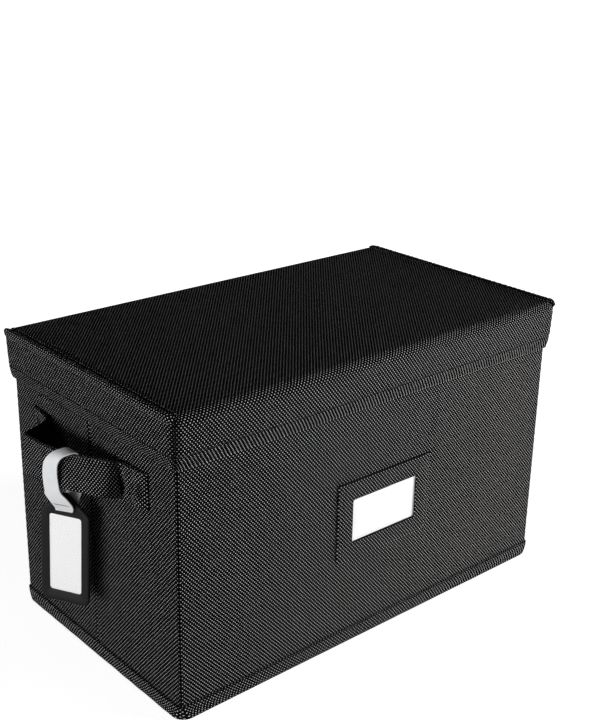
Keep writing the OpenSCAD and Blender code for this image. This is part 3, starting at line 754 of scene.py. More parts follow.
def makeLidEnd(side):
    # An end skirt: the skirt's line with a small round at the top and a flange under the welt.
    half = bodyHalf[1] - lid["radius"]
    run = evenRun(side, lid["radius"], 3.2 * mm, (-half, half), 3 * mm)
    cornerZ = lidTop - lid["endRoll"]
    offset, z, bulge = skirtProfile(cornerZ)
    bend = np.linspace(0, math.pi / 2, 7)[1:]
    flange = lidOver(cornerZ) - lid["endRoll"] - np.array([1.5, 3.0]) * mm
    flangeZ = lidTop - np.array([0.1, 0.5]) * mm
    offset = np.concatenate([offset, lidOver(cornerZ) - lid["endRoll"] * (1 - np.cos(bend)), flange])[None]
    z = np.concatenate([z, cornerZ + lid["endRoll"] * np.sin(bend), flangeZ])[None]
    bulge = np.concatenate([bulge, 0 * bend, 0 * flange])[None]
    relief = lidRelief(run["length"], z, run["reach"], lid["seeds"][side]) * bulge
    face = wallPoints(run, offset + relief, z, lid["radius"])
    face[..., 2] -= rollDrop(face[..., 1]) * ramp(z, stitchZ + 8 * mm, lidTop)
    face[..., 2] -= 0.15 * mm * ramp(z, cornerZ, lidTop)
    length = lengthsAlong(np.stack([offset[0], z[0]], -1))
    slant, tighter = hemDrift(z)
    u = clothLength(run, lid["radius"] + offset) + slant
    paintedShade = lidPaintedShade(run["length"], z, run["reach"])
    obj = sheetMesh("lid_" + side + "_skirt_cloth", face, u, length[None] + tighter, paintedShade=paintedShade)
    # the lid's end skirts take the darker copy too: painted shade
    return settle(obj, shadedEndWeave, "lid", "woven_fabric", "lid_" + side + "_fabric")


# The welt's outline at the lid's edge, as (outwards, upwards) in millimetres: a low ridge on the top,
# a valley, and a second ridge that wraps the edge and ends on the skirt.
weltOutline = [
    (-7.6, -0.1), (-7.0, 0.6), (-6.0, 1.2), (-4.9, 0.95), (-4.2, 0.05), (-3.8, -0.3), (-3.3, 0.1),
    (-2.5, 1.05), (-1.4, 1.4), (-0.2, 1.1), (0.6, 0.3), (1.0, -0.7), (1.05, -2.0), (0.85, -3.4),
    (0.35, -4.5), (-0.3, -4.9), (-0.6, -4.3), (-0.9, -2.4), (-1.6, -1.3), (-3.6, -1.1), (-5.6, -0.9),
    (-7.4, -0.7),
]


def makeWelt(side):
    # The outline is carried along the lid's end edge, up the roll at one corner and down the other.
    run = evenRun(side, lid["radius"], 2.4 * mm, cornerSteps=8)
    edge = wallPoints(run, np.full((1, 1), lid["topOver"]), np.full((1, 1), lidTop), lid["radius"])[:, 0]
    drop = rollDrop(edge[:, 1])
    edge[:, 2] -= drop
    tilt = np.sign(edge[:, 1]) * np.arccos(np.clip(1 - drop / lid["roll"], 0, 1))
    turn = run["turn"][:, 0]
    sideways = (np.cos(turn)[:, None] * run["out"][:, 0] + np.sin(turn)[:, None] * run["along"][:, 0])
    outward = np.column_stack([sideways, np.zeros(len(edge))])
    upward = np.column_stack([0 * tilt, np.sin(tilt), np.cos(tilt)])
    outline = np.array(weltOutline) * mm
    s = run["length"]
    uneven = ripple(s, 0, 60 * mm, 1.5, lid["seeds"][side] + 5)
    lively = 1 + 0.22 * np.sin(2 * math.pi * s / (5.2 * mm) + uneven)
    p = outline[None, :, 0] + 0 * s
    q = np.where(outline[None, :, 1] > 0, outline[None, :, 1] * lively, outline[None, :, 1] + 0 * s)
    rings = edge[:, None] + p[..., None] * outward[:, None] + q[..., None] * upward[:, None]
    v = lengthsAlong(outline)[None]
    # painted shade in the valley, at the inner edge and under the outer ridge
    groove = bell(p, -3.8 * mm, 0.6 * mm) + 0.8 * bell(p, -7.5 * mm, 0.5 * mm)
    groove = groove + 0.7 * bell(p, 0.5 * mm, 1.0 * mm) * bell(q, -4.6 * mm, 0.6 * mm)
    u = clothLength(run, lid["radius"] + lid["topOver"])
    obj = tubeMesh("lid_" + side + "_welt_cloth", rings, u, v, paintedShade=groove)
    return settle(obj, wallWeave, "lid", "woven_fabric", "lid_" + side + "_welt")


def makeLidBoards():
    # The lid's five boards, with the long edges rounded to sit under the rolled cloth: an arc of
    # radius under about the roll's middle, from the side boards' seat up to the top.
    under, slack = lid["roll"] - cloth - 0.15 * mm, cloth + 0.4 * mm
    middle = (bodyHalf[1] + lid["topOver"] - lid["roll"], lidTop - lid["roll"])
    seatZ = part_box("lid_top_board")[0].z
    start = math.degrees(math.asin((seatZ - middle[1]) / under))
    cover = arcPoints(middle, under, start, 90, 7)
    topOutline = np.vstack([cover, cover[::-1] * (-1, 1)])
    lidBoard("lid_top_board", topOutline, -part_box("lid_top_board")[0].x - 0.8 * mm, "front")
    footZ = stitchZ + lid["boardFoot"]
    foot = bodyHalf[1] + lidOver(footZ) - slack
    wall = arcPoints(middle, under, 0, start, 7)
    outline = np.vstack([(foot - lid["board"], footZ), (foot, footZ), wall, (wall[-1, 0] - 1.2 * mm, seatZ)])
    reach = bodyHalf[0] - lid["radius"]
    lidBoard("lid_front_board", outline * (-1, 1), reach, "front")
    lidBoard("lid_back_board", outline, reach, "front")
    foot = bodyHalf[0] + lidOver(footZ) - slack
    head = bodyHalf[0] + lidOver(seatZ) - slack
    outline = np.array([(foot - lid["board"], footZ), (foot, footZ),
                        (head, seatZ - 0.4 * mm), (head - lid["board"], seatZ)])
    reach = bodyHalf[1] - lid["radius"]
    lidBoard("lid_left_board", outline * (-1, 1), reach, "left")
    lidBoard("lid_right_board", outline, reach, "left")


def lidBoard(node, outline, reach, along):
    # The board's outline carried along the front ("front") or along an end ("left") of the lid.
    rings = np.empty((2, len(outline), 3))
    run, across = (0, 1) if along == "front" else (1, 0)
    rings[0, :, run], rings[1, :, run] = -reach, reach
    rings[..., across], rings[..., 2] = outline[:, 0], outline[:, 1]
    return settle(tubeMesh(node + "_rounded", rings, 0, 0), boardFinish, "lid", "greyboard", node)


def makeLidLining():
    # One smooth sheet inside the lid: up the inner faces of the boards, round the corner and across
    # under the top board to the middle.
    run = allRound(lid["radius"], 8 * mm)
    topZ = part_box("lid_top_board")[0].z - 0.05 * mm
    z = np.linspace(stitchZ - 2 * mm, topZ - 1.5 * mm, 10)
    up = lidOver(z) - cloth - lid["board"] - 0.2 * mm
    bend = np.linspace(0, math.pi / 2, 6)[1:]
    across = -np.array([8, 25, 50, 80, 101.4]) * mm
    offset = np.concatenate([up, up[-1] - 1.5 * mm * (1 - np.cos(bend)), across])[None]
    z = np.concatenate([z, z[-1] + 1.5 * mm * np.sin(bend), np.full(len(across), topZ)])[None]
    face = wallPoints(run, offset, z, lid["radius"])
    obj = sheetMesh("lid_lining_sheet", face[:, ::-1], 0, 0, thick=-0.5 * mm, closed=True)
    return settle(obj, liningFinish, "lid", "smooth_lining", "lid_lining")


makeLidTop()
makeLidBoards()
makeLidLining()
for side in ("left", "right"):
    makeLidEnd(side)
    makeWelt(side)
print("lid made")


label = {
    "window": (65 * mm, 34.5 * mm),
    "corner": 2 * mm,
    "raise": 1.5 * mm,  # height of the patch over the wall
    "sewn": 0.95 * mm,  # height of its sewn edges
    "stitchIn": 2.6 * mm,
}


def roundedLoop(halfWide, halfHigh, radius, perSide=26, perCorner=6):
    # A rectangle with round corners: matching places on any two such loops have the same number.
    bend = np.linspace(-math.pi / 4, math.pi / 4, 2 * perCorner + 1)
    turn = np.concatenate([bend[:perCorner], np.zeros(perSide), bend[perCorner + 1 : -1]])
    core = np.concatenate([-np.ones(perCorner), np.linspace(-1, 1, perSide), np.ones(perCorner - 1)])
    loop = []
    for out, along in sides.values():
        halfOut, halfAlong = (halfWide, halfHigh) if out[0] else (halfHigh, halfWide)
        outward = halfOut - radius + radius * np.cos(turn)
        sideways = core * (halfAlong - radius) + radius * np.sin(turn)
        loop.append(outward[:, None] * np.array(out) + sideways[:, None] * np.array(along))
    return np.concatenate(loop)


def layWeaveFlat(mesh):
    # The weave laid straight on the mesh from the front: u is each point's x and v its z.
    corner = np.zeros(len(mesh.loops), np.int32)
    mesh.loops.foreach_get("vertex_index", corner)
    place = np.zeros(3 * len(mesh.vertices), np.float32)
    mesh.vertices.foreach_get("co", place)
    uv = place.reshape(-1, 3)[corner][:, [0, 2]]
    mesh.uv_layers["cloth"].data.foreach_set("uv", uv.ravel())


def makeLabelPatch():
    # A ring of cloth from the window's edge, rolled in, out to the patch's edge. It stands off the
    # wall over the card, and its left, right and lower edges come down to the wall.
    low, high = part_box("label_frame")
    middle = Vector(((low.x + high.x) / 2, 0, (low.z + high.z) / 2))
    inner = roundedLoop(label["window"][0] / 2, label["window"][1] / 2, label["corner"])
    outer = roundedLoop((high.x - low.x) / 2, (high.z - low.z) / 2, label["corner"])
    share = np.concatenate([[0.035, 0.01, 0, 0.012], np.linspace(0.05, 0.94, 22), [0.975, 0.995, 1.0, 0.985]])
    rise = np.concatenate([[0.72, 0.85, 1.1, 1.36], np.full(22, 1.5), [1.45, 1.2, 0.85, 0.55]]) * mm
    flat = inner[:, None] + (outer - inner)[:, None] * share[None, :, None]
    x, z = flat[..., 0], flat[..., 1]
    halfW, halfH = (high.x - low.x) / 2, (high.z - low.z) / 2
    fromRight, fromLeft = halfW - x, halfW + x
    fromFoot, fromTop = halfH + z, halfH - z
    down = np.maximum.reduce([1 - ramp(fromRight, 0, 6 * mm), 1 - ramp(fromFoot, 0, 6 * mm),
                              0.45 * (1 - ramp(fromLeft, 0, 5 * mm))])
    height = rise[None] - down * (label["raise"] - label["sewn"]) * (share[None] > 0.3)
    height = height + 0.22 * mm * bell(fromTop, 0, 7 * mm) + ripple(x, z, 30 * mm, 0.07 * mm, 44)
    for away in (fromRight, fromFoot, fromLeft):
        height = height - 0.28 * mm * bell(away, label["stitchIn"], 0.5 * mm)
    face = np.stack([middle.x + x, -bodyHalf[1] - height, middle.z + z], -1)
    obj = sheetMesh("label_patch", face, 0, 0, thick=0.5 * mm, closed=True)
    layWeaveFlat(obj.data)
    return settle(obj, wallWeave, "case", "woven_fabric", "label_frame")


makeLabelPatch()


def stitchRow(name, points, out, body, pitch=3.5 * mm, long=2.5 * mm, wide=0.42 * mm):
    # Small spindles of thread laid along a line of points, each with 6 sides and 4 rings.
    length = lengthsAlong(points)
    at = np.arange(pitch / 2, length[-1] - pitch / 2, pitch)

    def valueAt(values):
        return np.stack([np.interp(at, length, values[:, i]) for i in range(3)], -1)

    centre = valueAt(points)
    ahead = valueAt(np.gradient(points, axis=0))
    up = valueAt(out)
    ahead /= np.linalg.norm(ahead, axis=1, keepdims=True)
    across = np.cross(up, ahead)
    across /= np.linalg.norm(across, axis=1, keepdims=True)
    up = np.cross(ahead, across)
    x = np.array([-0.5, -0.38, 0, 0.38, 0.5]) * long
    r = np.array([0.25, 0.85, 1.0, 0.85, 0.25]) * wide / 2
    rise = np.array([-0.8, 0.1, 0.45, 0.1, -0.8]) * wide / 2
    turn = np.arange(6) * math.pi / 3
    lengthwise, radial = x[:, None], r[:, None]
    local = (lengthwise, radial * np.cos(turn), rise[:, None] + radial * np.sin(turn))
    local = np.stack(np.broadcast_arrays(*local), -1)
    points = (centre[:, None, None] + local[None, ..., 0:1] * ahead[:, None, None]
              + local[None, ..., 1:2] * across[:, None, None] + local[None, ..., 2:3] * up[:, None, None])
    ring, around = np.arange(4)[:, None], np.arange(6)[None]
    here, there, following = ring * 6, (ring + 1) * 6, (around + 1) % 6
    corners = (here + around, there + around, there + following, here + following)
    sidesOfThread = np.stack(np.broadcast_arrays(*corners), -1).reshape(-1, 4)
    caps = np.array([[0, 1, 2, 3], [0, 3, 4, 5], [27, 26, 25, 24], [24, 29, 28, 27]])
    first = points[0].size // 3 * np.arange(len(at))[:, None, None]
    quads = (np.concatenate([sidesOfThread, caps])[None] + first).reshape(-1, 4)
    obj = quadMesh(name, points.reshape(-1, 3), quads, np.zeros((len(quads), 4, 2)), sharp=80)
    return settle(obj, threadFinish, body, "woven_fabric")


def levelRow(name, side, radius, height, standOut, body):
    # A level row of stitches along one side; standOut gives the cloth's place on that run at a height.
    half = halfLength(side) - radius
    run = wallRun(side, np.linspace(-half, half, 240), radius, cornerSteps=3)
    z = np.full((1, 1), height)
    points = wallPoints(run, standOut(run, z), z, radius)[:, 0]
    facing = np.cos(run["turn"]) * run["out"][:, 0] + np.sin(run["turn"]) * run["along"][:, 0]
    stitchRow(name, points, np.column_stack([facing, np.zeros(len(points))]), body)


def makeLabelStitches():
    # Down the left edge, along the foot and up the right edge of the patch.
    low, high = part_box("label_frame")
    inset = label["stitchIn"]
    left, right, foot, top = low.x + inset, high.x - inset, low.z + inset, high.z - 1 * mm
    corners = np.array([(left, top), (left, foot), (right, foot), (right, top)])
    line = np.concatenate([np.linspace(corners[i], corners[i + 1], 60) for i in range(3)])
    points = np.column_stack([line[:, 0], np.full(len(line), -bodyHalf[1] - 0.85 * mm), line[:, 1]])
    points = points[np.append(True, np.linalg.norm(np.diff(points, axis=0), axis=1) > 1e-9)]
    out = np.tile((0.0, -1.0, 0.0), (len(points), 1))
    stitchRow("label_stitches", points, out, "case", pitch=3.2 * mm, long=2.3 * mm)


for side in ("front", "back", "left", "right"):
    levelRow("lid_" + side + "_hem_stitches", side, lid["radius"], stitchZ,
             lambda run, z: lidOver(z) + lidRelief(run["length"], z, run["reach"], lid["seeds"][side]), "lid")
for side in sides:
    levelRow(side + "_rim_stitches", side, wallLook["radius"], rimZ - wallLook["rimStitch"],
             lambda run, z: wallRelief(side, run["length"], z, run["reach"], wallLook["seeds"][side]), "case")
makeLabelStitches()
print("stitches made")


strapLook = {
    "wide": 26 * mm,
    "thick": 2.2 * mm,
    "perSpan": 8,  # steps of the mesh between two rows
    "wrinkle": 0.5 * mm,
    "tight": 1.12,  # how much finer its weave is
    "bends": (2 * mm, 10 * mm),  # two distances off the wall
    # the rows of the fold's painted shade, how much sooner it ends at the upper edge, and how dark it is drawn
    "fold": {"first": 6.9, "last": 8.9, "sooner": 0.8, "dark": 0.72},
}

# Each row gives the strap's upper edge, middle and lower edge at one place, as (along the wall, off the
# wall) in millimetres, from the slit nearest the front to the rear one. The left strap lies on the wall,
# folds outwards more sharply at its foot, bows out, turns back sharply and lies down again.
leftStrap = [
    [(-67.9, -2.2), (-67.9, -2.2), (-67.9, -2.2)],
    [(-67.4, 0.0), (-67.4, 0.0), (-67.4, 0.0)],
    [(-65, 1.5), (-65, 1.9), (-65, 2.4)],
    [(-60, 2.0), (-61, 2.8), (-61, 3.6)],
    [(-54, 2.4), (-55.5, 3.2), (-56, 4.2)],
    [(-48, 2.8), (-50, 3.4), (-51, 3.8)],
    [(-45, 3.2), (-47.3, 3.0), (-47.8, 2.8)],
    [(-42.5, 4.8), (-45.8, 4.0), (-46.2, 3.2)],
    [(-38, 7.6), (-42.3, 8.2), (-43.2, 7.0)],
    [(-33, 10.4), (-38.3, 12.0), (-39.4, 11.4)],
    [(-27.5, 13.4), (-33, 15.2), (-34, 15.6)],
    [(-20, 18), (-25, 18.8), (-26, 19.4)],
    [(-11, 22.5), (-13, 24.5), (-14, 25.5)],
    [(0, 26), (-1, 28.5), (-2, 30)],
    [(12, 28.5), (11, 30.5), (10, 32.5)],
    [(24, 29.5), (22.5, 32), (21, 34)],
    [(31, 29.6), (28.5, 32.8), (26, 34.6)],
    [(34.8, 28.6), (31.8, 32), (28.9, 33.8)],
    [(36.6, 26), (34, 28), (32, 29)],
    [(39, 19.5), (38, 21), (37, 22)],
    [(42.5, 11.5), (42, 13), (42, 14)],
    [(46, 6.0), (47, 6.8), (48, 7.5)],
    [(52, 3.4), (54, 3.8), (55, 4.2)],
    [(60, 2.2), (62, 2.4), (63, 2.6)],
    [(67.5, 1.4), (68, 1.5), (68, 1.6)],
    [(70.8, 0.2), (70.8, 0.2), (70.8, 0.2)],
    [(71.2, -2.2), (71.2, -2.2), (71.2, -2.2)],
]
halfBow = [(-71.2, -2.2), (-70.6, 0.4), (-67, 2.2), (-60, 6), (-50, 12.6), (-38, 19), (-24, 24), (-9, 27)]
rightStrap = [[place] * 3 for place in halfBow + [(-along, off) for along, off in halfBow[::-1]]]


def makeStrap(side, rows, facing, seed, fold):
    # A flat band through three curves: across it, each point is their quadratic mean, and its
    # outline is a rectangle with round short sides. fold says where the painted shade in its fold lies, in
    # rows, and how much sooner it ends at the upper edge.
    steps = (len(rows) - 1) * strapLook["perSpan"]
    flat = smoothLine([np.ravel(row) for row in rows], steps, even=False) * mm
    half, r = strapLook["wide"] / 2, strapLook["thick"] / 2
    bend = np.linspace(0, math.pi, 7)[1:-1]
    level = np.linspace(half - r, r - half, 15)
    across = np.concatenate([level, r - half - r * np.sin(bend), level[::-1], half - r + r * np.sin(bend)])
    out = np.concatenate([np.full(15, r), r * np.cos(bend), np.full(15, -r), -r * np.cos(bend)])
    w = across / half
    mix = np.stack([w * (w + 1) / 2, 1 - w**2, w * (w - 1) / 2])
    y = flat[:, 0::2] @ mix
    off = flat[:, 1::2] @ mix
    middle = np.stack([facing * (bodyHalf[0] + off), y, wallLook["handleZ"] + across + 0 * y], -1)
    ahead = np.gradient(middle, axis=0)
    outward = np.stack([facing * ahead[..., 1], -facing * ahead[..., 0], 0 * y], -1)
    outward /= np.linalg.norm(outward, axis=-1, keepdims=True)
    outward *= np.sign(facing * outward[len(rows) * strapLook["perSpan"] // 2, 0, 0])
    s = lengthsAlong(middle[:, 7])[:, None]
    fromEnd = np.minimum(s, s[-1] - s)
    lying = ramp(fromEnd, 2 * mm, 7 * mm) * (1 - ramp(fromEnd, 20 * mm, 34 * mm))
    wrinkle = ripple(s, across[None] * 0.4, 9 * mm, strapLook["wrinkle"], seed) * (0.2 + 1.1 * lying)
    wrinkle = wrinkle + ripple(s, across[None] * 0.8, 4.5 * mm, 0.35 * strapLook["wrinkle"], seed + 1) * lying
    rings = middle + (out[None] + wrinkle)[..., None] * outward
    v = lengthsAlong(np.stack([across, out], -1))[None]
    # painted shade: the strap's back face is drawn near black
    paintedShade = 0.93 * (out < 0)[None] * np.ones_like(s)
    # painted shade: the crumpled ends are drawn dark in their creases
    paintedShade = paintedShade + np.clip(-wrinkle / strapLook["wrinkle"] - 0.15, 0, 0.7) * lying
    if fold:
        row = np.linspace(0, len(rows) - 1, len(s))[:, None]
        first, last = fold["first"], fold["last"] - fold["sooner"] * w[None]
        foldShade = ramp(row, first - 0.25, first + 0.35) * (1 - ramp(row, last - 0.7, last + 0.5))
        # painted shade in the fold
        paintedShade = paintedShade + fold["dark"] * foldShade
    obj = tubeMesh(side + "_strap", rings, s * strapLook["tight"], v * strapLook["tight"], paintedShade=paintedShade)
    obj.data.materials.append(wallWeave)
    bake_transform(obj)
    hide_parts(side + "_handle_ends", side + "_handle_strap")
    return obj


makeStrap("left", leftStrap, -1, 31, strapLook["fold"])
makeStrap("right", rightStrap, 1, 33, None)
print("handles made")


tagJoint = next(joint for joint in frame["joints"] if joint["name"] == "tag_swing")
tagMiddle = Vector(tagJoint["pos_m"])
tagAcross = -Vector(tagJoint["axis"]).normalized()  # along the tag's width, to the right as it faces out
tagOut = Vector((tagAcross.y, -tagAcross.x, 0))  # the way that the tag faces
tag = {
    "wide": 36.8 * mm,
    "high": 86 * mm,
    "foot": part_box("tag_frame")[0].z - 3.4 * mm,
    "corner": 5.5 * mm,
    "sides": 70.7 * mm,  # height of the straight sides; sloping shoulders run from there to the tip
    "tip": 2.4 * mm,
    "window": (24.2 * mm, 59.9 * mm),
    "sill": 8.4 * mm,  # from the foot to the window
    "slot": (13.0 * mm, 2.4 * mm),
    "slotZ": 128.4 * mm,
    "front": 1.5 * mm,  # depths, outwards from the tag's middle: the frame's front and the plate's back,
    "back": -1.5 * mm,
    "seam": -0.7 * mm,  # where the two meet, and the frame's lip over the film
    "lip": 0.08 * mm,
    "pocket": 2.6 * mm,
    "card": (28.2 * mm, 62.6 * mm),
    "lean": math.radians(-2.8),  # the tag hangs slightly askew, turned about this height
    "leanZ": 82 * mm,
}
windowZ = tag["foot"] + tag["sill"] + tag["window"][1] / 2


def inTagFrame(across, up, out, lean=0.0):
    # Turns (across, up, out) on the tag into the frame's own axes, leaning sideways by an angle.
    across, up, out = np.broadcast_arrays(across, up, out)
    high = up - tag["leanZ"]
    up = tag["leanZ"] + across * math.sin(lean) + high * math.cos(lean)
    across = across * math.cos(lean) - high * math.sin(lean)
    x = tagMiddle.x + across * tagAcross.x + out * tagOut.x
    y = tagMiddle.y + across * tagAcross.y + out * tagOut.y
    return np.stack([x, y, up + 0 * x], -1)


def tagOutline():
    # Round lower corners, straight sides and sloping shoulders up to a short top, anticlockwise.
    w, f, c, t = tag["wide"] / 2, tag["foot"], tag["corner"], tag["tip"]
    side, top = f + tag["sides"], f + tag["high"]
    slope = (top - side) / (w - t)
    right = np.vstack([
        np.linspace((w, side - 12 * mm), (w, side - 1.4 * mm), 4), [(w - 0.3 * mm, side - 0.1 * mm)],
        np.linspace((w - 1.1 * mm, side + 1.1 * mm * slope), (t + 1.2 * mm, top - 1.2 * mm * slope), 12),
        [(t + 0.4 * mm, top - 0.5 * mm), (t - 0.5 * mm, top)]])
    left = right[::-1] * (-1, 1)
    feet = [arcPoints((-w + c, f + c), c, 180, 270), arcPoints((w - c, f + c), c, 270, 360)]
    return np.vstack([*feet, right, left])


def aroundMiddle(outline, middle, angles):
    # The outline's distance from the middle in each direction, read between its own points.
    rel = outline - middle
    angle = np.arctan2(rel[:, 1], rel[:, 0])
    order = np.argsort(angle)
    reach = np.hypot(rel[:, 0], rel[:, 1])[order]
    angle = angle[order]
    return np.interp(angles, angle, reach, period=2 * math.pi)


def denser(outline, step=0.5 * mm):
    # The closed outline again, with points one step apart.
    closed = np.vstack([outline, outline[:1]])
    length = lengthsAlong(closed)
    at = np.arange(0, length[-1], step)
    return np.stack([np.interp(at, length, closed[:, i]) for i in range(2)], -1)


def makeTagFrame():
    # A ring between the window and the outline, rounded over the outer edge in front and with a thin
    # lip at the window. Under the lip is the card's pocket, open on one side. The slot is cut through.
    middle = np.array([0, windowZ])
    window = roundedLoop(tag["window"][0] / 2, tag["window"][1] / 2, 2.2 * mm, 20, 6) + middle
    outline = denser(tagOutline())
    rel = np.vstack([outline - middle, window - middle])
    angles = np.unique(np.arctan2(rel[:, 1], rel[:, 0]).round(5))
    angles = angles[np.append(True, np.diff(angles) > 0.004)]
    outer = aroundMiddle(outline, middle, angles)[:, None]
    inner = aroundMiddle(denser(window, 0.25 * mm), middle, angles)[:, None]
    opened = ramp(np.abs(angles), math.radians(122), math.radians(125))[:, None]
    t, seam, lip = tag["front"], tag["seam"], tag["lip"]
    # (share from window to edge, inset from the edge, out) round the frame's section
    section = [
        (0, 0, lip), (0, 0, t - 1.15 * mm), (0.05, 0, t - 0.95 * mm), (0.14, 0, t - 0.82 * mm),
        (0.4, 0, t - 0.42 * mm), (0.68, 0, t - 0.06 * mm), (1, -1.5 * mm, t - 0.08 * mm),
        (1, -0.75 * mm, t - 0.35 * mm), (1, -0.2 * mm, t - 0.9 * mm), (1, 0, t - 1.3 * mm)]
    share, inset, out = (np.array(column)[None] for column in zip(*section))
    reach = inner + (outer + inset - inner) * share
    pocket = inner + np.minimum(tag["pocket"], 0.45 * (outer - inner))
    pocket = pocket + opened * (outer - 0.5 * mm - pocket)
    reach = np.concatenate([reach, outer, outer - 0.2 * mm, pocket, pocket - 0.05 * mm], axis=1)
    low = [seam + 0.2 * mm, seam, seam, lip]
    high = [lip + 0.03 * mm, lip + 0.01 * mm, lip + 0.005 * mm, lip]
    under = np.array(low)[None] + opened * (np.array(high) - np.array(low))[None]
    out = np.concatenate([out + 0 * opened, under], axis=1)
    around = angles[:, None]
    points = inTagFrame(reach * np.cos(around), windowZ + reach * np.sin(around), out, tag["lean"])
    obj = tubeMesh("tag_frame_moulding", points, 0, 0, closed=True)
    cutter = flatPlate("slot_cutter", tag["slot"], tag["slotZ"], 0.9 * mm, (-4 * mm, 4 * mm))
    cut = obj.modifiers.new("slot", "BOOLEAN")
    cut.operation, cut.object, cut.solver = "DIFFERENCE", cutter, "EXACT"
    bpy.context.view_layer.update()
    depsgraph = bpy.context.evaluated_depsgraph_get()
    mesh = bpy.data.meshes.new_from_object(obj.evaluated_get(depsgraph))
    obj.modifiers.clear()
    obj.data = mesh
    bpy.data.objects.remove(cutter)
    mesh.materials.clear()
    return settle(obj, tagFinish, "tag", "tag_plastic", "tag_frame")


def flatPlate(name, size, middleZ, corner, depths, edge=0.0):
    # A flat piece with round corners between two depths on the tag; its edges are eased by edge.
    full = roundedLoop(size[0] / 2, size[1] / 2, corner, 12, 4)
    small = roundedLoop(size[0] / 2 - edge, size[1] / 2 - edge, max(corner - edge, 0.2 * mm), 12, 4)
    rows = [(small, depths[0]), (full, depths[0] + edge), (full, depths[1] - edge), (small, depths[1])]
    rows = rows if edge else [rows[0], rows[3]]
    rings = [inTagFrame(loop[:, 0], middleZ + loop[:, 1], depth, tag["lean"]) for loop, depth in rows]
    return tubeMesh(name, np.stack(rings), 0, 0)


def makeTagInsides():
    # Back plate, card and clear film, one behind the other in the frame.
    top, foot = tag["foot"] + tag["sides"] + 1.6 * mm, tag["foot"] + 0.3 * mm
    plate = flatPlate("tag_back_plate", (tag["wide"] - 0.6 * mm, top - foot), (top + foot) / 2, 5.2 * mm,
                      (tag["back"], tag["seam"] - 0.02 * mm), 0.3 * mm)
    settle(plate, tagFinish, "tag", "tag_plastic", "tag_back")
    card = flatPlate("tag_card_sheet", tag["card"], windowZ, 1.2 * mm, (-0.45 * mm, -0.15 * mm))
    settle(card, cardFinish, "tag_insert", "white_card", "tag_card")
    filmSize = (tag["card"][0], tag["card"][1] + 0.5 * mm)
    film = flatPlate("tag_film", filmSize, windowZ, 1.0 * mm, (-0.07 * mm, 0.03 * mm))
    settle(film, filmFinish, "tag", "clear_film", "tag_window")


# The ribbon's line round the loop from the slot, up in front, over the strap and down behind it, as
# (out from the tag, height, across, turn in degrees, half width) with lengths in millimetres.
ribbonLine = [
    (2.2, 126.9, 2.6, 0, 6), (3.8, 129.8, 3.3, 0, 6), (6.9, 134.4, 3.4, 0, 6), (9.4, 140, 1.6, 2, 6),
    (10.3, 144.6, -0.7, 4, 6), (10.9, 150, -1.3, 6, 6), (12.0, 160, -1.1, 10, 6.0),
    (12.4, 167.5, 0.4, 16, 6.0), (11.8, 172.6, 4.0, 24, 5.8), (9.6, 174.9, 8.4, 32, 5.6),
    (5.4, 174.8, 12.2, 34, 5.5), (1.2, 170, 13.2, 30, 5.5), (-2.2, 159, 11, 20, 5.5),
    (-5, 148, 8.5, 10, 5.5), (-5.2, 138, 6.6, 0, 5.5), (-3, 130.6, 4.4, 0, 5.6), (-0.6, 127.4, 3.2, 0, 5.8)]
ribbon = {
    "thick": 0.9 * mm,
    # (height, extra width on the left, on the right) in millimetres, where it slants down to the slot
    "slant": [(126.0, 0.1, 0.1), (128.6, 0.6, 1.0), (134, 1.7, 2.0), (140.8, 1.9, 1.6), (142.6, 1.6, 1.0),
              (144.4, 0.2, 0.4), (147, 0, 0)],
    # height of the short pressed line of painted shade
    "markZ": 134.0 * mm,
    "bends": (147 * mm, 131 * mm),  # two heights on the loop
}


def makeRibbon():
    # A flat band whose width direction turns with it. In front its foot slants towards the slot, with
    # a corner standing out on the left where the slant starts, and a short pressed line drawn dark as painted
    # shade.
    line = smoothLine(ribbonLine, 260, closed=True)
    out, up, shift = line[:, :3].T * mm
    turn = np.radians(line[:, 3])
    half = line[:, 4] * mm
    step = np.roll(line[:, :3], -1, 0) - np.roll(line[:, :3], 1, 0)
    wide = np.stack([np.sin(turn), 0 * turn, np.cos(turn)], -1)
    normal = np.cross(step, wide)
    normal /= np.linalg.norm(normal, axis=1, keepdims=True)
    inFront = (out > 1.5 * mm) & (up < 160 * mm)
    heights, moreLeft, moreRight = np.array(ribbon["slant"]).T * mm
    left = half + np.interp(up, heights, moreLeft) * inFront
    right = half + np.interp(up, heights, moreRight) * inFront
    profile = [
        (-1, 0.55), (-0.97, 1), (-0.55, 1.05), (-0.25, 1.05), (0, 1.05), (0.3, 1.05), (0.97, 1), (1, 0.55),
        (1, -0.55), (0.97, -1), (0.5, -1), (0, -1), (-0.5, -1), (-0.97, -1), (-1, -0.55)]
    w, k = (np.array(column)[None] for column in zip(*profile))
    side = np.where(w < 0, w * left[:, None], w * right[:, None])[..., None]
    layer = k[..., None] * ribbon["thick"] / 2
    points = np.stack([out, up, shift], -1)[:, None] + side * wide[:, None] + layer * normal[:, None]
    # painted shade along the pressed line, on the front face
    pressShade = (bell(up, ribbon["markZ"], 0.4 * mm) * inFront)[:, None] * ((np.abs(w + 0.12) < 0.45) & (k > 0))
    placed = inTagFrame(points[..., 2], points[..., 1], points[..., 0])
    obj = tubeMesh("tag_ribbon", placed, 0, 0, closed=True, paintedShade=pressShade)
    obj.data.materials.append(loopFinish)
    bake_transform(obj)
    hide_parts("tag_loop")
    return obj


makeTagFrame()
makeTagInsides()
makeRibbon()
print("tag made")


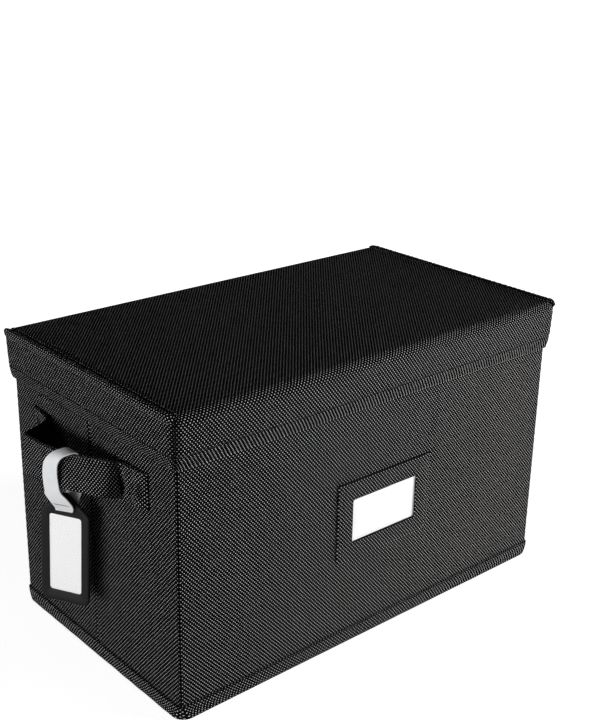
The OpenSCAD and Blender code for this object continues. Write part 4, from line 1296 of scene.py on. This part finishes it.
def makeDivider():
    # Cloth round the divider's board, closed by a seam along the top whose edge is drawn in by the thread.
    low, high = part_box("divider_cover")
    y = spaced(low.y, high.y, 2.2 * mm)[:, None]
    z = np.linspace(low.z + 0.1 * mm, high.z - 1.2 * mm, 46)
    half = (high.x - low.x) / 2
    bend = np.linspace(0, math.pi, 9)[1:-1]
    x = np.concatenate([np.full(len(z), half), half * np.cos(bend), np.full(len(z), -half)])[None]
    up = np.concatenate([z, z[-1] + 1.2 * mm * np.sin(bend), z[::-1]])[None]
    turn = 2 * math.pi * y / (9 * mm)
    x = x * (1 + 0.25 * np.sin(turn + 1.5 * np.sin(y / (20 * mm))) * ramp(up, high.z - 14 * mm, high.z))
    x = x + np.sign(x) * ripple(y, up, 60 * mm, 0.15 * mm, 61)
    up = up - 0.7 * mm * (0.5 + 0.5 * np.sin(turn)) * ramp(up, high.z - 8 * mm, high.z)
    ends = 1 - 0.35 * (bell(y, low.y, 1.5 * mm) + bell(y, high.y, 1.5 * mm))
    rings = np.stack(np.broadcast_arrays(x * ends, y, up), -1)
    v = lengthsAlong(np.stack([x[0], up[0]], -1))[None]
    obj = tubeMesh("divider_cloth", rings, y - low.y, v)
    return settle(obj, wallWeave, "divider", "woven_fabric", "divider_cover")


def makeLining():
    # The smooth lining: from the rim down the inner faces of the boards, round the foot and across
    # the bottom to the middle, with soft sags in it.
    run = allRound(wallLook["radius"], 6 * mm)
    low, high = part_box("lining")
    face = bodyHalf[0] + low.x + 0.5 * mm  # how far the lining's own face lies inside the wall
    floorZ = low.z + 0.5 * mm
    down = np.linspace(high.z, low.z + 4 * mm, 44)
    bend = np.linspace(0, math.pi / 2, 6)[1:]
    across = -np.array([10, 25, 45, 70, 100.9 - 1e3 * face]) * mm
    offset = np.concatenate([0 * down, -4 * mm * (1 - np.cos(bend)), across - 4 * mm])[None] - face
    z = np.concatenate([down, floorZ + 3.5 * mm * (1 - np.sin(bend)), np.full(len(across), floorZ)])[None]
    s = run["length"]
    sag = 0.35 * mm + ripple(s, z, 85 * mm, 0.28 * mm, 51) + ripple(s, z, 24 * mm, 0.07 * mm, 52)
    free = ramp(z, 12 * mm, 40 * mm) * (1 - ramp(z, rimZ - 30 * mm, rimZ - 14 * mm))
    points = wallPoints(run, offset - np.clip(sag, 0, 1 * mm) * free, z, wallLook["radius"])
    obj = sheetMesh("lining_sheet", points[:, ::-1], 0, 0, thick=-0.45 * mm, closed=True)
    return settle(obj, liningFinish, "case", "smooth_lining", "lining")


def makeBaseCover():
    # Cloth pulled over the base board: a flat outline with round edges carried along the case and
    # drawn in at both ends, with faint hollows on top.
    low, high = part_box("base_board_cover")
    edge = np.array([0, 0.5, 1.4, 2.6]) * mm
    level = np.linspace(low.x + 5 * mm, high.x - 5 * mm, 90)
    x = np.concatenate([low.x + edge, level, high.x - edge[::-1]])[:, None]
    fromEnd = np.minimum(x - low.x, high.x - x)
    half, middleZ, r = high.y, (low.z + high.z) / 2, (high.z - low.z) / 2
    full = np.sqrt(np.clip(1 - (1 - np.clip(fromEnd / r, 0.15, 1)) ** 2, 0, 1))
    bend = np.linspace(0, math.pi, 8)[1:-1]
    level = np.linspace(half - r, r - half, 40)
    y = np.concatenate([level, r - half - r * np.sin(bend), level[::-1], half - r + r * np.sin(bend)])[None]
    up = np.concatenate([np.full(40, r), r * np.cos(bend), np.full(40, -r), -r * np.cos(bend)])[None]
    hollow = np.clip(ripple(x, y, 90 * mm, 0.22 * mm, 57) + 0.2 * mm, 0, 0.5 * mm) * (up > 0.9 * r)
    y = y - np.sign(y) * 0.5 * r * (1 - full)
    rings = np.stack(np.broadcast_arrays(x, y, middleZ + up * full - hollow), -1)
    obj = tubeMesh("base_board_cloth", rings, x, y)
    return settle(obj, liningFinish, "base_panel", slotOf["base_board_cover"], "base_board_cover")


def makeBottomCloth():
    # The woven sheet under the base, with round corners and a faint unevenness.
    x = np.linspace(bodyHalf[0] - 0.6 * mm, 0.6 * mm - bodyHalf[0], 121)[:, None]
    r = wallLook["radius"] + wallLook["footRadius"]
    past = np.clip((np.abs(x) - (bodyHalf[0] - r)) / r, 0, 0.998)
    half = bodyHalf[1] - 0.6 * mm - r * (1 - np.sqrt(1 - past**2))
    y = np.linspace(-1, 1, 71)[None] * half
    z = 0.12 * mm + np.clip(ripple(x, y, 80 * mm, 0.1 * mm, 58) + 0.1 * mm, 0, 0.3 * mm)
    face = np.stack(np.broadcast_arrays(x, y, z), -1)
    obj = sheetMesh("bottom_cloth", face, x, y, thick=0.6 * mm)
    return settle(obj, wallWeave, "case", "woven_fabric", "bottom_fabric")


slotOf = {part["node"]: part["material_slot"] for part in frame["record"]["subparts"]}
makeDivider()
makeLining()
makeBaseCover()
makeBottomCloth()
print("inside and bottom made")


# The boards, the label card and the film in front of it stay as they are, with these finishes.
finishes = {"greyboard": boardFinish, "white_card": cardFinish, "clear_film": filmFinish}
for name, node in frame["nodes"].items():
    if slotOf[name] in finishes:
        node.data.materials.clear()
        node.data.materials.append(finishes[slotOf[name]])
print("nodes finished")


studio = {
    "floor": 0.92,
    "floorGlow": 0.80,  # seen by the camera alone; it rises to white away from the object
    "worldLight": 0.07,
    "cameraAt": (-570.2 * mm, -655.3 * mm, 517.7 * mm),
    "azimuth": 41.3,  # degrees from +Y towards +X
    "pitch": 20.8,
    "roll": 1.11,
    "focus": 1211.5,  # focal length in pixels of a picture 720 high
    "pictureHigh": 720,
    "lampTarget": (0, 0, 0.1),
    # each lamp's place and size in metres, and its power in watts
    "lamps": {"front": ((1.45, -1.3, 0.34), (1.0, 0.45), 44),
              "left": ((-2.3, -0.3, 0.37), (2.4, 0.5), 43)},
}


def seenByCamera(tree):
    # 1 for the camera's own rays, also through clear film.
    rays = addNode(tree, "ShaderNodeLightPath").outputs
    return calc(tree, "ADD", rays["Is Camera Ray"], rays["Is Transmission Ray"], clamp=True)


def makeFloor():
    # A white floor that glows for the camera alone, and whitens with the distance from the object.
    half = 6.0  # metres
    points = np.array([(-half, -half, 0), (half, -half, 0), (half, half, 0), (-half, half, 0)])
    mesh = bpy.data.meshes.new("floor")
    mesh.from_pydata(points.tolist(), [], [(0, 1, 2, 3)])
    floor = bpy.data.objects.new("floor", mesh)
    bpy.context.scene.collection.objects.link(floor)
    material, tree, shader = newMaterial("white_floor")
    shader.inputs["Base Color"].default_value = (studio["floor"],) * 3 + (1,)
    shader.inputs["Roughness"].default_value = 1.0
    shader.inputs["Specular IOR Level"].default_value = 0.0
    seen = seenByCamera(tree)
    place = addNode(tree, "ShaderNodeTexCoord").outputs["Object"]
    away = addNode(tree, "ShaderNodeVectorMath", (place,), operation="LENGTH").outputs["Value"]
    glow = addNode(tree, "ShaderNodeMapRange", (away, 0.3, 0.75, studio["floorGlow"], 1.0)).outputs[0]
    tree.links.new(calc(tree, "MULTIPLY", seen, glow), shader.inputs["Emission Strength"])
    shader.inputs["Emission Color"].default_value = (1, 1, 1, 1)
    mesh.materials.append(material)


def makeWorld():
    # White for the camera, and a dim white light for everything else.
    world = bpy.data.worlds.new("studio")
    world.use_nodes = True
    tree = world.node_tree
    background = tree.nodes["Background"]
    background.inputs["Color"].default_value = (1, 1, 1, 1)
    seen = seenByCamera(tree)
    strength = calc(tree, "ADD", calc(tree, "MULTIPLY", seen, 1 - studio["worldLight"]), studio["worldLight"])
    tree.links.new(strength, background.inputs["Strength"])
    bpy.context.scene.world = world


def addLamp(name, place, size, power):
    # A rectangular lamp turned to face the target.
    light = bpy.data.lights.new(name, "AREA")
    light.shape, light.size, light.size_y, light.energy = "RECTANGLE", size[0], size[1], power
    lamp = bpy.data.objects.new(name, light)
    lamp.location = place
    ahead = Vector(studio["lampTarget"]) - Vector(place)
    lamp.rotation_euler = ahead.to_track_quat("-Z", "Y").to_euler()
    bpy.context.scene.collection.objects.link(lamp)


def makeCamera():
    # The camera fitted to the photo: turned by its roll, then its pitch, then its azimuth.
    data = bpy.data.cameras.new("camera")
    data.lens = studio["focus"] * data.sensor_width / studio["pictureHigh"]
    data.clip_end = 50
    camera = bpy.data.objects.new("camera", data)
    bpy.context.scene.collection.objects.link(camera)
    turn = (Matrix.Rotation(-math.radians(studio["azimuth"]), 4, "Z")
            @ Matrix.Rotation(math.radians(90 - studio["pitch"]), 4, "X")
            @ Matrix.Rotation(math.radians(studio["roll"]), 4, "Z"))
    camera.matrix_world = Matrix.Translation(studio["cameraAt"]) @ turn
    bpy.context.scene.camera = camera


makeFloor()
makeWorld()
for name, lamp in studio["lamps"].items():
    addLamp(name, *lamp)
makeCamera()
bpy.context.scene.view_settings.view_transform = "Standard"
print("studio made")
